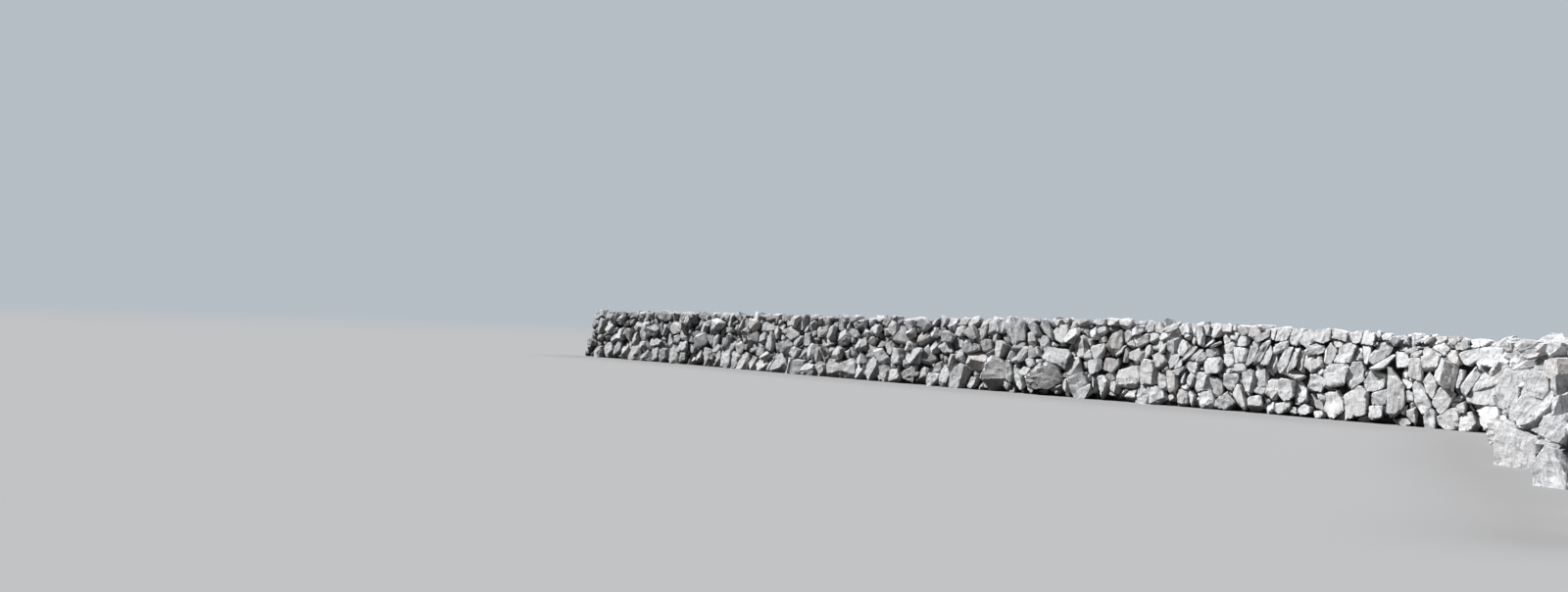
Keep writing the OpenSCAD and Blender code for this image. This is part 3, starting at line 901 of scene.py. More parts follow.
class SeenStones:
    """Lays the stones that stand out in the photograph, on the face of the wall where they are seen."""

    # The grid on the face, up to its highest point, and how near a pixel its points count as under it
    GRID = 0.02
    HIGHEST = 1.66
    NEAR_PIXELS = 0.7
    STEP = 0.01

    # The largest slope of the broad facets, how unevenly stones stand out, and limits of their half depth
    STEEPEST = 0.26
    UNEVENNESS = 0.022
    HALF_DEPTH = (0.13, 0.2)

    # Slender stones that lean: from which share of height to width and which lean, and what they are given
    SLENDER = 1.7
    LEANING = 15.0
    LEANING_TURN = 16.0
    LEANING_PROUD = 0.02

    # Broad slabs of the return run: how far they swing from the line of sight, and their half depth
    SWING = -0.4
    SLAB_HALF_DEPTH = 0.16

    def __init__(self, plan: WallPlan, view: Viewpoint) -> None:
        """Lays out a fine grid of points on the front face, with the pixels that they appear at.

        Args:
            plan: the wall's plan and section.
            view: where the photograph was taken from.
        """
        self.plan = plan
        self.view = view
        s, z = np.meshgrid(np.arange(0.0, plan.length, self.GRID), np.arange(0.0, self.HIGHEST, self.GRID),
                           indexing="ij")
        self.s, self.z = s.ravel(), z.ravel()
        self.points = plan.place(self.s, -plan.half_width(self.z), self.z)
        self.seen = view.pixels(self.points)

    def on_face(self, stone: SeenStone) -> int:
        """The grid's point under a stone's middle, the nearest to the viewpoint of those that are."""
        miss = np.hypot(self.seen[:, 0] - stone.x, self.seen[:, 1] - stone.y)
        under = np.flatnonzero(miss < miss.min() + self.NEAR_PIXELS)
        return int(under[np.argmin(self.seen[under, 2])])

    def lay_flat(self, mason: Mason, stone: SeenStone) -> None:
        """Lays a stone of the long run with its size and lean taken in the plane of the face.

        A slender stone that leans and has no turn of its own is turned a little and stands out over the next.

        Args:
            mason: who lays it.
            stone: the stone.
        """
        at = self.on_face(stone)
        s, z = self.s[at], self.z[at]
        spots, heights = np.array([s, s + self.STEP, s]), np.array([z, z, z + self.STEP])
        moved = self.plan.place(spots, -self.plan.half_width(heights), heights)
        pixels = self.view.pixels(moved)
        slope = np.stack([pixels[1, :2] - pixels[0, :2], pixels[2, :2] - pixels[0, :2]], 1) / self.STEP
        lean = math.radians(stone.lean)
        long_way = np.linalg.solve(slope, stone.height / 2.0 * np.array([math.sin(lean), -math.cos(lean)]))
        short_way = np.linalg.solve(slope, stone.width / 2.0 * np.array([math.cos(lean), math.sin(lean)]))
        along, outward = self.plan.along(s), -self.plan.backward(s)
        breadth = 0.5 * (np.linalg.norm(long_way) + np.linalg.norm(short_way))
        half_depth = float(np.clip(breadth, *self.HALF_DEPTH))
        axes = np.stack([short_way[0] * along + short_way[1] * UP, long_way[0] * along + long_way[1] * UP,
                         half_depth * outward], 1)
        leans = stone.height > self.SLENDER * stone.width and stone.lean > self.LEANING and not stone.turn
        axes = turned(UP, math.radians(self.LEANING_TURN if leans else stone.turn)) @ axes
        proud = stone.proud + self.LEANING_PROUD * leans + mason.rng.normal(0.0, self.UNEVENNESS)
        centre = moved[0] + outward * (proud - half_depth)
        facets = mason.split_facets(axes, float(s), self.STEEPEST)
        mason.lay(float(s), Side.FRONT, centre, axes, facets, stone.shade)

    def lay_across(self, mason: Mason, stone: SeenStone) -> None:
        """Lays a stone of the return run, half of it proud and its broad side turned mostly to the view.

        Args:
            mason: who lays it.
            stone: the stone.
        """
        at = self.on_face(stone)
        point, depth = self.points[at], self.seen[at, 2]
        ahead = point - np.array(self.view.place)
        ahead /= np.linalg.norm(ahead)
        ahead = turned(UP, self.SWING) @ ahead
        level = np.cross(ahead, UP)
        level /= np.linalg.norm(level)
        lean = math.radians(stone.lean)
        metres = depth / self.view.focal_pixels / 2.0
        long_way = stone.height * metres * (math.sin(lean) * level + math.cos(lean) * UP)
        short_way = stone.width * metres * (math.cos(lean) * level - math.sin(lean) * UP)
        axes = np.stack([short_way, long_way, -self.SLAB_HALF_DEPTH * ahead], 1)
        facets = mason.split_facets(axes, float(self.s[at]), self.STEEPEST)
        mason.lay(float(self.s[at]), Side.FRONT, point, axes, facets, stone.shade)

    def lay(self, mason: Mason) -> None:
        """Lays all of them, those of the long run first."""
        for stone in SEEN_ON_LONG_RUN:
            self.lay_flat(mason, stone)
        for stone in SEEN_ON_RETURN_RUN:
            self.lay_across(mason, stone)


def cube_sphere(cuts: int) -> tuple[np.ndarray, np.ndarray, np.ndarray]:
    """Unit directions on a sphere, the quads between them, and each direction's neighbours.

    Each face of a cube has an even grid, its coordinates are spread by a tangent so that the quads are
    about equal, and points shared by faces are merged.

    Args:
        cuts: quads along an edge of the cube.

    Returns:
        Directions, one row each, quads as rows of four indices, outward, and the indices of the four
        neighbours of each direction, with one of them repeated at the cube's corners.
    """
    grid = np.tan(np.linspace(-np.pi / 4.0, np.pi / 4.0, cuts + 1))
    u, v = np.meshgrid(grid, grid, indexing="ij")
    one = np.ones_like(u)
    faces = [(one, u, v), (-one, v, u), (v, one, u), (u, -one, v), (u, v, one), (v, u, -one)]
    points = np.concatenate([np.stack(face, -1).reshape(-1, 3) for face in faces])
    corner = (np.arange(cuts)[:, None] * (cuts + 1) + np.arange(cuts)[None, :]).reshape(-1)
    quad = np.stack([corner, corner + cuts + 1, corner + cuts + 2, corner + 1], -1)
    quads = np.concatenate([quad + k * (cuts + 1) ** 2 for k in range(len(faces))])
    _, first, which = np.unique(np.round(points, 6), axis=0, return_index=True, return_inverse=True)
    points = points[first]
    directions = points / np.linalg.norm(points, axis=1, keepdims=True)
    quads = which.reshape(-1)[quads]
    ends = np.unique(np.concatenate([np.stack([quads, np.roll(quads, turn, axis=1)], -1).reshape(-1, 2)
                                     for turn in (1, -1)]), axis=0)
    starts = np.searchsorted(ends[:, 0], np.arange(len(directions)))
    counts = np.bincount(ends[:, 0])
    neighbours = ends[starts[:, None] + np.arange(4)[None] % counts[:, None], 1]
    return directions, quads, neighbours


RIPPLE_LENGTHS = (0.7, 1.4)


def ripples(points: np.ndarray, wavelength: float, waves: int, rng: np.random.Generator) -> np.ndarray:
    """Smooth noise with a spread of about 1: the sum of sine waves in random directions.

    Args:
        points: positions in metres, the last axis holding the coordinates.
        wavelength: mean wavelength in metres.
        waves: how many sine waves are added.
        rng: the source of their directions, lengths and phases.

    Returns:
        One value for each point.
    """
    directions = rng.normal(size=(waves, 3))
    directions /= np.linalg.norm(directions, axis=1, keepdims=True)
    lengths = wavelength * rng.uniform(*RIPPLE_LENGTHS, waves)
    phases = rng.uniform(0.0, 2.0 * np.pi, waves)
    total = np.zeros(points.shape[:-1])
    for direction, length, phase in zip(directions, lengths, phases):
        total += np.sin(points @ (direction * 2.0 * np.pi / length) + phase)
    return total * math.sqrt(2.0 / waves)


@dataclass
class StoneMeshes:
    """Finished surfaces of stones that share one template.

    There is a row for each stone of its points, their places on the stone itself and their painted shade.
    The quads are the template's, and the stones are indices among all that are laid.
    """

    points: np.ndarray
    local: np.ndarray
    recess: np.ndarray
    quads: np.ndarray
    stones: np.ndarray


class StoneCutter:
    """Gives each laid stone its own faceted body, trimmed where it meets its neighbours.

    A stone is convex before it weathers. Along a direction its reach is the least of the distances to its
    planes: its own facets, the planes midway to its neighbours, the ground, and the ends.
    """

    # How many of the nearest stones are looked at, and how many of them trim a stone
    CANDIDATES = 40
    NEIGHBOURS = 16

    # How far a stone's sides, ends and bevels grow, and what share of an overlap a seen stone gives way
    FOUND_GROWTH = (1.4, 1.02, 1.14)
    SEEN_GROWTH = (1.28, 1.0, 1.12)
    SLENDER_GROWTH = (1.06, 1.0, 1.06)
    SEEN_GIVES = 0.15

    # Planes: half of an open joint and how much it varies, how square joints are, and the crest's spreads
    JOINT = 0.002
    JOINT_VARIES = 0.005
    SQUARENESS = 0.3
    LEAST_REACH = 0.02
    TOP_TILT = 0.14
    TOP_SPREAD = 0.02
    BEDDING = 0.035

    # Surface: the template's crowding, dents by the cosine of their reach, and swells that each have a mean
    # wavelength, a number of waves and a share of the stone's size
    FRONT_SHARE = 0.45
    SNAP = 0.55
    DENTS = 3
    DENT_RIM = 0.72
    DENT_SLOPE = 0.2
    DEEPEST_DENT = 0.1
    SHIFT = 50.0
    LUMPS = (0.22, 6, 0.01)
    CREASES = (0.26, 5, 0.025)
    CHIPS = (0.13, 5, 0.018)
    SHARPNESS = 1.6

    # Guards where planes are nearly parallel
    LEAST_SPREAD = 1.0e-6
    LEAST_EDGE = 1.0e-9
    LEAST_RATE = 1.0e-3

    # Painted shade of the gaps: how strong it is along the wall, and how deep behind the face it starts and
    # grows
    GAP_SHADING = ((0.0, 17.0, 20.5, 22.5), (1.0, 0.9, 0.4, 0.2))
    GAP_SHADE_START = 0.01
    GAP_SHADE_DEPTH = 0.12

    def __init__(self, plan: WallPlan, masonry: Masonry, rng: np.random.Generator) -> None:
        """Reads the laid stones into arrays.

        Args:
            plan: the wall's plan and section.
            masonry: the stones.
            rng: the source of the joints, the tops and the weathering.
        """
        self.plan = plan
        self.rng = rng
        self.s = np.array(masonry.s)
        self.sides = np.array(masonry.sides)
        self.heights = np.array(masonry.heights)
        self.tones = np.clip(np.array(masonry.tones), 0.0, 1.0)
        self.centres = np.array(masonry.centres)
        self.bases = np.array(masonry.bases)
        self.own = np.array(masonry.facets)
        self.sizes = np.cbrt(np.abs(np.linalg.det(self.bases)))
        self.seen = np.array(masonry.seen)
        half_sizes = np.linalg.norm(self.bases, axis=1)
        slender = self.seen & (half_sizes[:, 1] > SeenStones.SLENDER * half_sizes[:, 0])
        found, seen, slim = (self.growths(*shares)
                             for shares in (self.FOUND_GROWTH, self.SEEN_GROWTH, self.SLENDER_GROWTH))
        growth = np.where(slender[:, None], slim, np.where(self.seen[:, None], seen, found))
        grown = self.own / growth[:, :, None]
        self.gives = np.where(self.seen, self.SEEN_GIVES, 1.0)
        self.planes = np.concatenate([grown, self.neighbour_planes(), self.limit_planes()], 1)

    def growths(self, sides: float, ends: float, bevels: float) -> np.ndarray:
        """How much further out than it was split each facet may lie, so that stones fill their gaps."""
        each_end = [ends] + [bevels] * Mason.BEVELS
        return np.array([sides] * Mason.SIDES + 2 * each_end + [bevels] * Mason.CORNER_CUTS)

    def neighbour_planes(self) -> np.ndarray:
        """Planes between neighbours, with half of an open joint taken off each side.

        The plane stands where the two stones would meet on the line between their centres, nearer to the
        one that gives way more. Its normal is about the mean of those of the two facets that meet there.

        Returns:
            For each stone one row w for each of its neighbours, outside which the stone is cut away.
        """
        count = len(self.s)
        squares = (self.centres ** 2).sum(1)
        spread = squares[:, None] + squares[None] - 2.0 * self.centres @ self.centres.T
        np.fill_diagonal(spread, FAR_AWAY)
        near = np.argpartition(spread, self.CANDIDATES, axis=1)[:, :self.CANDIDATES]
        between = self.centres[near] - self.centres[:, None]
        gap = np.linalg.norm(between, axis=2)
        direction = between / gap[..., None]
        mine = np.einsum("nfi,nki->nkf", self.own, direction)
        theirs = np.einsum("nkfi,nki->nkf", self.own[near], -direction)
        my_reach = 1.0 / mine.max(2)
        their_reach = 1.0 / theirs.max(2)
        order = np.argsort(gap - my_reach - their_reach, axis=1)[:, :self.NEIGHBOURS]
        rows = np.arange(count)[:, None]
        facing = self.own[rows, mine.argmax(2)[rows, order]]
        faced = self.own[near[rows, order], theirs.argmax(2)[rows, order]]
        facing = facing / np.linalg.norm(facing, axis=2, keepdims=True)
        faced = faced / np.linalg.norm(faced, axis=2, keepdims=True)
        overlap = (my_reach + their_reach - gap)[rows, order]
        share = self.gives[:, None] / (self.gives[:, None] + self.gives[near[rows, order]])
        direction, meeting = direction[rows, order], my_reach[rows, order] - overlap * share
        normal = facing - faced + self.SQUARENESS * direction
        normal /= np.linalg.norm(normal, axis=2, keepdims=True)
        joint = self.JOINT + self.JOINT_VARIES * self.rng.random(meeting.shape)
        offset = np.einsum("nki,nki->nk", normal, direction) * meeting - joint
        return normal / np.maximum(offset, self.LEAST_REACH)[..., None]

    def limit_planes(self) -> np.ndarray:
        """The ground, the far end of the wall, the raked wall head and the crest, as planes round each stone.

        Returns:
            For each stone four rows w, outside which it is cut away.
        """
        count = len(self.s)
        ground = np.tile([0.0, 0.0, -1.0], (count, 1))
        rake = math.atan2(self.plan.head_rake, self.plan.reference_crest)
        head = np.tile([-math.cos(rake), 0.0, math.sin(rake)], (count, 1))
        from_head = (self.s - self.plan.rake(self.heights)) * math.cos(rake)
        top = UP + self.rng.normal(0.0, self.TOP_TILT, ground.shape)
        under_crest = self.plan.crest(self.s) - self.heights + self.rng.normal(0.0, self.TOP_SPREAD, count)
        over_bed = self.centres[:, 2] + self.BEDDING
        normals = np.stack([ground, self.plan.along(self.s), head, top], 1)
        offsets = np.stack([over_bed, self.plan.length - self.s, from_head, under_crest], 1)
        return normals / np.maximum(offsets, self.LEAST_REACH)[..., None]

    def cut(self, stones: np.ndarray, cuts: int) -> StoneMeshes:
        """Surfaces of some of the stones.

        Weathering scales each point's distance from its stone's centre. A dent takes off more towards its
        middle, lumps follow a ripple, and creases and chips leave ridges where a ripple passes zero. The
        template's points crowd towards the end of a stone that shows.

        Args:
            stones: their indices.
            cuts: quads along an edge of the template.

        Returns:
            Their meshes, one row of points for each stone.
        """
        rng = self.rng
        template, quads, neighbours = cube_sphere(cuts)
        crowd = np.where(self.sides[stones] == Side.THROUGH.value, 0.0, self.FRONT_SHARE)
        aims = template[None] + crowd[:, None, None] * UP
        aims /= np.linalg.norm(aims, axis=2, keepdims=True)
        local = self.split_surface(self.planes[stones], np.einsum("nij,nvj->nvi", self.bases[stones], aims),
                                   neighbours)
        spots = rng.normal(size=(len(stones), self.DENTS, 3))
        spots /= np.linalg.norm(spots, axis=2, keepdims=True)
        reach = (np.einsum("nvi,nki->nvk", aims, spots) - self.DENT_RIM) / self.DENT_SLOPE
        depth = rng.uniform(0.0, self.DEEPEST_DENT, (len(stones), 1, self.DENTS))
        local = local * (1.0 - (np.clip(reach, 0.0, 1.0) * depth).sum(2))[..., None]
        shift = rng.uniform(-self.SHIFT, self.SHIFT, (len(stones), 1, 3))
        wavelength, waves, share = self.LUMPS
        swell = 1.0 + share * ripples(local + shift, wavelength, waves, rng)
        for wavelength, waves, share in (self.CREASES, self.CHIPS):
            swell += share * (1.0 - self.SHARPNESS * np.abs(ripples(local + shift, wavelength, waves, rng)))
        local = local * swell[..., None]
        points = self.centres[stones][:, None] + local
        points[..., 2] = np.maximum(points[..., 2], 0.0)
        axes = self.bases[stones] / np.linalg.norm(self.bases[stones], axis=1, keepdims=True)
        own_point = np.einsum("nvi,nij->nvj", local, axes) + shift
        return StoneMeshes(points, own_point, self.recess(stones, points), quads, stones)

    def split_surface(self, planes: np.ndarray, rays: np.ndarray, neighbours: np.ndarray) -> np.ndarray:
        """Points on convex stones with crisp edges.

        A ray meets the plane that it leans over the most. The point then slides along that plane to the
        nearest point of the edge with the next plane, and on along the edge to the corner with the third,
        wherever that is less than about half of the distance to its neighbours away.

        Args:
            planes: rows w of each stone, which lies where w times the offset stays under 1.
            rays: the rays from each stone's centre.
            neighbours: indices of each ray's neighbours.

        Returns:
            One point for each ray.
        """
        lean = np.einsum("nkc,nvc->nvk", planes, rays)
        best = np.argpartition(-lean, 3, axis=2)[..., :3]
        ranks = np.argsort(-np.take_along_axis(lean, best, 2), axis=2)
        best = np.take_along_axis(best, ranks, 2)
        first, second, third = np.moveaxis(planes[np.arange(len(planes))[:, None, None], best], 2, 0)
        met = rays / np.take_along_axis(lean, best[..., :1], 2)
        step = self.SNAP * np.linalg.norm(met[:, neighbours] - met[:, :, None], axis=3).mean(2)
        short = 1.0 - (second * met).sum(2)
        square, cross, other = (first ** 2).sum(2), (first * second).sum(2), (second ** 2).sum(2)
        spread = np.maximum(square * other - cross ** 2, self.LEAST_SPREAD * square * other)
        slide = (short / spread)[..., None] * (square[..., None] * second - cross[..., None] * first)
        on_edge = np.linalg.norm(slide, axis=2) < step
        edge_point = met + slide
        edge = np.cross(first, second)
        edge /= np.linalg.norm(edge, axis=2, keepdims=True) + self.LEAST_EDGE
        rate = (third * edge).sum(2)
        rate = np.where(np.abs(rate) < self.LEAST_RATE, self.LEAST_RATE, rate)
        along = (1.0 - (third * edge_point).sum(2)) / rate
        on_corner = on_edge & (np.abs(along) < step)
        past = on_edge & ~on_corner & ((third * edge_point).sum(2) > 1.0)
        points = np.where((on_edge & ~past)[..., None], edge_point, met)
        return np.where(on_corner[..., None], edge_point + along[..., None] * edge, points)

    def recess(self, stones: np.ndarray, points: np.ndarray) -> np.ndarray:
        """How much painted shade each point gets, by its depth behind the face or under the crest, whichever
        is less.

        Args:
            stones: indices of the stones.
            points: their points, one row for each stone.

        Returns:
            One value for each point.
        """
        s = self.s[stones]
        from_middle = points - self.plan.place(s, 0.0, 0.0)[:, None]
        across = np.abs(np.einsum("nvi,ni->nv", from_middle, self.plan.backward(s)))
        behind = self.plan.half_width(points[..., 2]) - across
        under_crest = self.plan.crest(s)[:, None] - points[..., 2]
        depth = (np.minimum(behind, under_crest) - self.GAP_SHADE_START) / self.GAP_SHADE_DEPTH
        return np.interp(s, *self.GAP_SHADING)[:, None] * np.clip(depth, 0.0, 1.0)


# The standard's curve from sRGB to linear: a straight part up to a knee, and past it a scaled power
SRGB_DIVISOR = 12.92
SRGB_KNEE = 0.04045
SRGB_OFFSET = 0.055
SRGB_POWER = 2.4


def linear(code: str) -> tuple[float, float, float, float]:
    """Linear colour from an sRGB hex code such as #c8c5c0.

    Args:
        code: the hex code.

    Returns:
        Red, green, blue and an alpha of 1.
    """
    parts = [int(code[k:k + 2], 16) / 255.0 for k in (1, 3, 5)]
    curve = [part / SRGB_DIVISOR if part <= SRGB_KNEE else
             ((part + SRGB_OFFSET) / (1.0 + SRGB_OFFSET)) ** SRGB_POWER for part in parts]
    return (*curve, 1.0)


class Shade:
    """The nodes of a material or of the world, with one way to add a node."""

    def __init__(self, owner: bpy.types.Material | bpy.types.World) -> None:
        """Starts with no nodes.

        Args:
            owner: what the nodes belong to.
        """
        owner.use_nodes = True
        self.owner = owner
        self.tree = owner.node_tree
        self.tree.nodes.clear()

    def add(self, kind: str, settings: dict[str, object] | None = None,
            links: dict[str | int, object] | None = None) -> bpy.types.Node:
        """Adds one node.

        Args:
            kind: the node's type.
            settings: properties by name, or values of its inputs by number or name after a leading "in ".
            links: sockets to connect, by the name or number of the input.

        Returns:
            The node.
        """
        node = self.tree.nodes.new(kind)
        for name, value in (settings or {}).items():
            if name.startswith("in "):
                key = name[3:]
                node.inputs[int(key) if key.isdigit() else key].default_value = value
            else:
                setattr(node, name, value)
        for key, socket in (links or {}).items():
            self.tree.links.new(socket, node.inputs[key])
        return node

    def rough_stone(self, colour: Socket, height: Socket, relief: dict[str, object], roughness: float,
                    ior: float) -> bpy.types.Material:
        """Ends the finish of a stone with its relief, its shader and the output.

        Args:
            colour: the stone's colour.
            height: the height that the relief follows.
            relief: the settings of the relief.
            roughness: the shader's roughness.
            ior: its index of refraction.

        Returns:
            The material.
        """
        bump = self.add("ShaderNodeBump", relief, {"Height": height})
        shader = self.add("ShaderNodeBsdfPrincipled", {"in Roughness": roughness, "in IOR": ior},
                          {"Base Color": colour, "Normal": bump.outputs[0]})
        self.add("ShaderNodeOutputMaterial", None, {"Surface": shader.outputs[0]})
        return self.owner


@dataclass(frozen=True)
class Mark:
    """One pattern on a stone: noise whose features are so many millimetres across the stone and along it.

    It shows where the noise is past the first limit, and in full past the second. There it tints the stone
    up to its strength. The relief is how much it raises the surface, by the noise itself or, where it is
    stepped, only where it shows. A mark that washes out is weaker on pale stones.
    """

    across_mm: float
    along_mm: float
    detail: float
    coarseness: float
    limits: tuple[float, float]
    colour: str
    strength: float
    relief: float = 0.0
    stepped: bool = False
    washes_out: bool = False


DARK_STONE = "#5c5f62"


@dataclass(frozen=True)
class FieldLimestone:
    """Carboniferous limestone, split by frost and weathered in the open for centuries.

    It is dull and pale, with a white and grey crust of lichen and dark pits that hold damp. The gaps between
    stones get painted shade, darker the deeper they go. The IOR is calcite's.
    """

    name: str = "weathered limestone"
    pale: str = "#dbdcdd"
    mid: str = "#898b8e"
    warm: str = "#b7a99e"
    gap_shade_colour: str = "#2b2a2b"
    gap_shade_strength: float = 0.92
    washing: float = 0.6
    blotches: Mark = Mark(150.0, 150.0, 3.0, 0.55, (0.50, 0.68), DARK_STONE, 0.35)
    lichen: Mark = Mark(55.0, 55.0, 4.0, 0.6, (0.52, 0.64), "#dadad9", 0.5, 1.0)
    pits: Mark = Mark(32.0, 32.0, 3.0, 0.6, (0.55, 0.64), DARK_STONE, 0.65, -0.8, washes_out=True)
    grain: Mark = Mark(9.0, 9.0, 3.0, 0.65, (0.56, 0.70), DARK_STONE, 0.3, 0.3)
    bedding: Mark = Mark(14.0, 160.0, 2.0, 0.5, (0.56, 0.66), DARK_STONE, 0.45, -0.35, stepped=True)
    bump_strength: float = 0.4
    bump_distance: float = 0.03
    roughness: float = 0.92
    ior: float = 1.6

    def material(self) -> bpy.types.Material:
        """Builds the node material, which reads the stones' own coordinates and tones.

        The marks lie over the stone's tone in layers, with the warm tint over the first of them and the
        painted shade of the gaps last.

        Returns:
            The material.
        """
        shade = Shade(bpy.data.materials.new(self.name))
        sources = {"stone_point": "Vector", "tone": "Fac", "warmth": "Fac", "recess": "Fac"}
        point, tone, warmth, recess = [
            shade.add("ShaderNodeAttribute", {"attribute_name": name}).outputs[output]
            for name, output in sources.items()]
        unwashed = shade.add("ShaderNodeMath", {"operation": "MULTIPLY_ADD", "in 1": -self.washing,
                                                "in 2": 1.0}, {0: tone}).outputs[0]
        layers, height = [], None
        for mark in (self.blotches, self.lichen, self.pits, self.grain, self.bedding):
            noise, cover = self.pattern(shade, point, mark)
            if mark.relief:
                raised = {0: cover if mark.stepped else noise} | ({2: height} if height else {})
                height = shade.add("ShaderNodeMath", {"operation": "MULTIPLY_ADD", "in 1": mark.relief,
                                                      "in 2": 0.0}, raised).outputs[0]
            if mark.washes_out:
                cover = shade.add("ShaderNodeMath", {"operation": "MULTIPLY"},
                                  {0: cover, 1: unwashed}).outputs[0]
            layers.append((cover, mark.colour, mark.strength))
        layers.insert(1, (warmth, self.warm, 1.0))
        # Painted shade: the deeper a point lies in a gap, the nearer its colour comes to near-black.
        layers.append((recess, self.gap_shade_colour, self.gap_shade_strength))
        colour = shade.add("ShaderNodeMix", {"data_type": "RGBA", "in 6": linear(self.mid),
                                             "in 7": linear(self.pale)}, {0: tone}).outputs[2]
        for cover, tint, strength in layers:
            share = shade.add("ShaderNodeMath", {"operation": "MULTIPLY", "in 1": strength}, {0: cover})
            colour = shade.add("ShaderNodeMix", {"data_type": "RGBA", "in 7": linear(tint)},
                               {0: share.outputs[0], 6: colour}).outputs[2]
        relief = {"in Strength": self.bump_strength, "in Distance": self.bump_distance}
        return shade.rough_stone(colour, height, relief, self.roughness, self.ior)

    def pattern(self, shade: Shade, point: Socket, mark: Mark) -> tuple[Socket, Socket]:
        """Lays out one mark.

        Args:
            shade: the material's nodes.
            point: the stone's own coordinates.
            mark: the mark.

        Returns:
            Its noise, and how much of it shows: 0 below the limits, 1 above them and smooth between.
        """
        along = MM_A_METRE / mark.along_mm
        scaled = shade.add("ShaderNodeMapping", {"in Scale": (MM_A_METRE / mark.across_mm, along, along)},
                           {"Vector": point})
        noise = shade.add("ShaderNodeTexNoise", {"in Scale": 1.0, "in Detail": mark.detail,
                                                 "in Roughness": mark.coarseness},
                          {"Vector": scaled.outputs[0]}).outputs["Fac"]
        low, high = mark.limits
        cover = shade.add("ShaderNodeMapRange", {"interpolation_type": "SMOOTHSTEP", "in From Min": low,
                                                 "in From Max": high}, {"Value": noise}).outputs["Result"]
        return noise, cover


@dataclass(frozen=True)
class HeartingRubble:
    """Broken limestone packed inside the wall, painted dark: partly shade, since little light reaches it, and
    partly its own colour, since no rain does.
    """

    name: str = "hearting rubble"
    pale: str = "#55524f"
    dark: str = "#1f1e1d"
    stone_mm: float = 90.0
    bump_strength: float = 1.0
    bump_distance: float = 0.03
    roughness: float = 0.95
    ior: float = 1.6

    def material(self) -> bpy.types.Material:
        """Builds the node material, whose cells are the size of the broken stones.

        Returns:
            The material.
        """
        shade = Shade(bpy.data.materials.new(self.name))
        point = shade.add("ShaderNodeTexCoord").outputs["Object"]
        cells = shade.add("ShaderNodeTexVoronoi", {"in Scale": MM_A_METRE / self.stone_mm},
                          {"Vector": point}).outputs["Distance"]
        ramp = shade.add("ShaderNodeValToRGB", None, {"Fac": cells})
        for stop, colour in zip(ramp.color_ramp.elements, (self.pale, self.dark)):
            stop.color = linear(colour)
        relief = {"in Strength": self.bump_strength, "in Distance": self.bump_distance, "invert": True}
        return shade.rough_stone(ramp.outputs[0], cells, relief, self.roughness, self.ior)


def mesh_object(name: str, points: np.ndarray, quads: np.ndarray, attributes: dict[str, np.ndarray],
                material: bpy.types.Material) -> bpy.types.Object:
    """An object at the origin from whole arrays.

    Args:
        name: its name.
        points: its vertices, one row each.
        quads: its faces, four indices to a row.
        attributes: values at its vertices by name, one number or one vector each.
        material: its finish.

    Returns:
        The object, linked to the scene.
    """
    mesh = bpy.data.meshes.new(name)
    mesh.vertices.add(len(points))
    mesh.vertices.foreach_set("co", points.astype(np.float32).ravel())
    mesh.loops.add(quads.size)
    mesh.loops.foreach_set("vertex_index", quads.astype(np.int32).ravel())
    mesh.polygons.add(len(quads))
    mesh.polygons.foreach_set("loop_start", np.arange(len(quads), dtype=np.int32) * 4)
    mesh.polygons.foreach_set("use_smooth", np.ones(len(quads), dtype=bool))
    for key, values in attributes.items():
        kind, part = ("FLOAT", "value") if values.ndim == 1 else ("FLOAT_VECTOR", "vector")
        data = mesh.attributes.new(key, kind, "POINT").data
        data.foreach_set(part, values.astype(np.float32).ravel())
    mesh.materials.append(material)
    mesh.update(calc_edges=True)
    mesh.set_sharp_from_angle(angle=SHARP)
    piece = bpy.data.objects.new(name, mesh)
    bpy.context.scene.collection.objects.link(piece)
    return piece


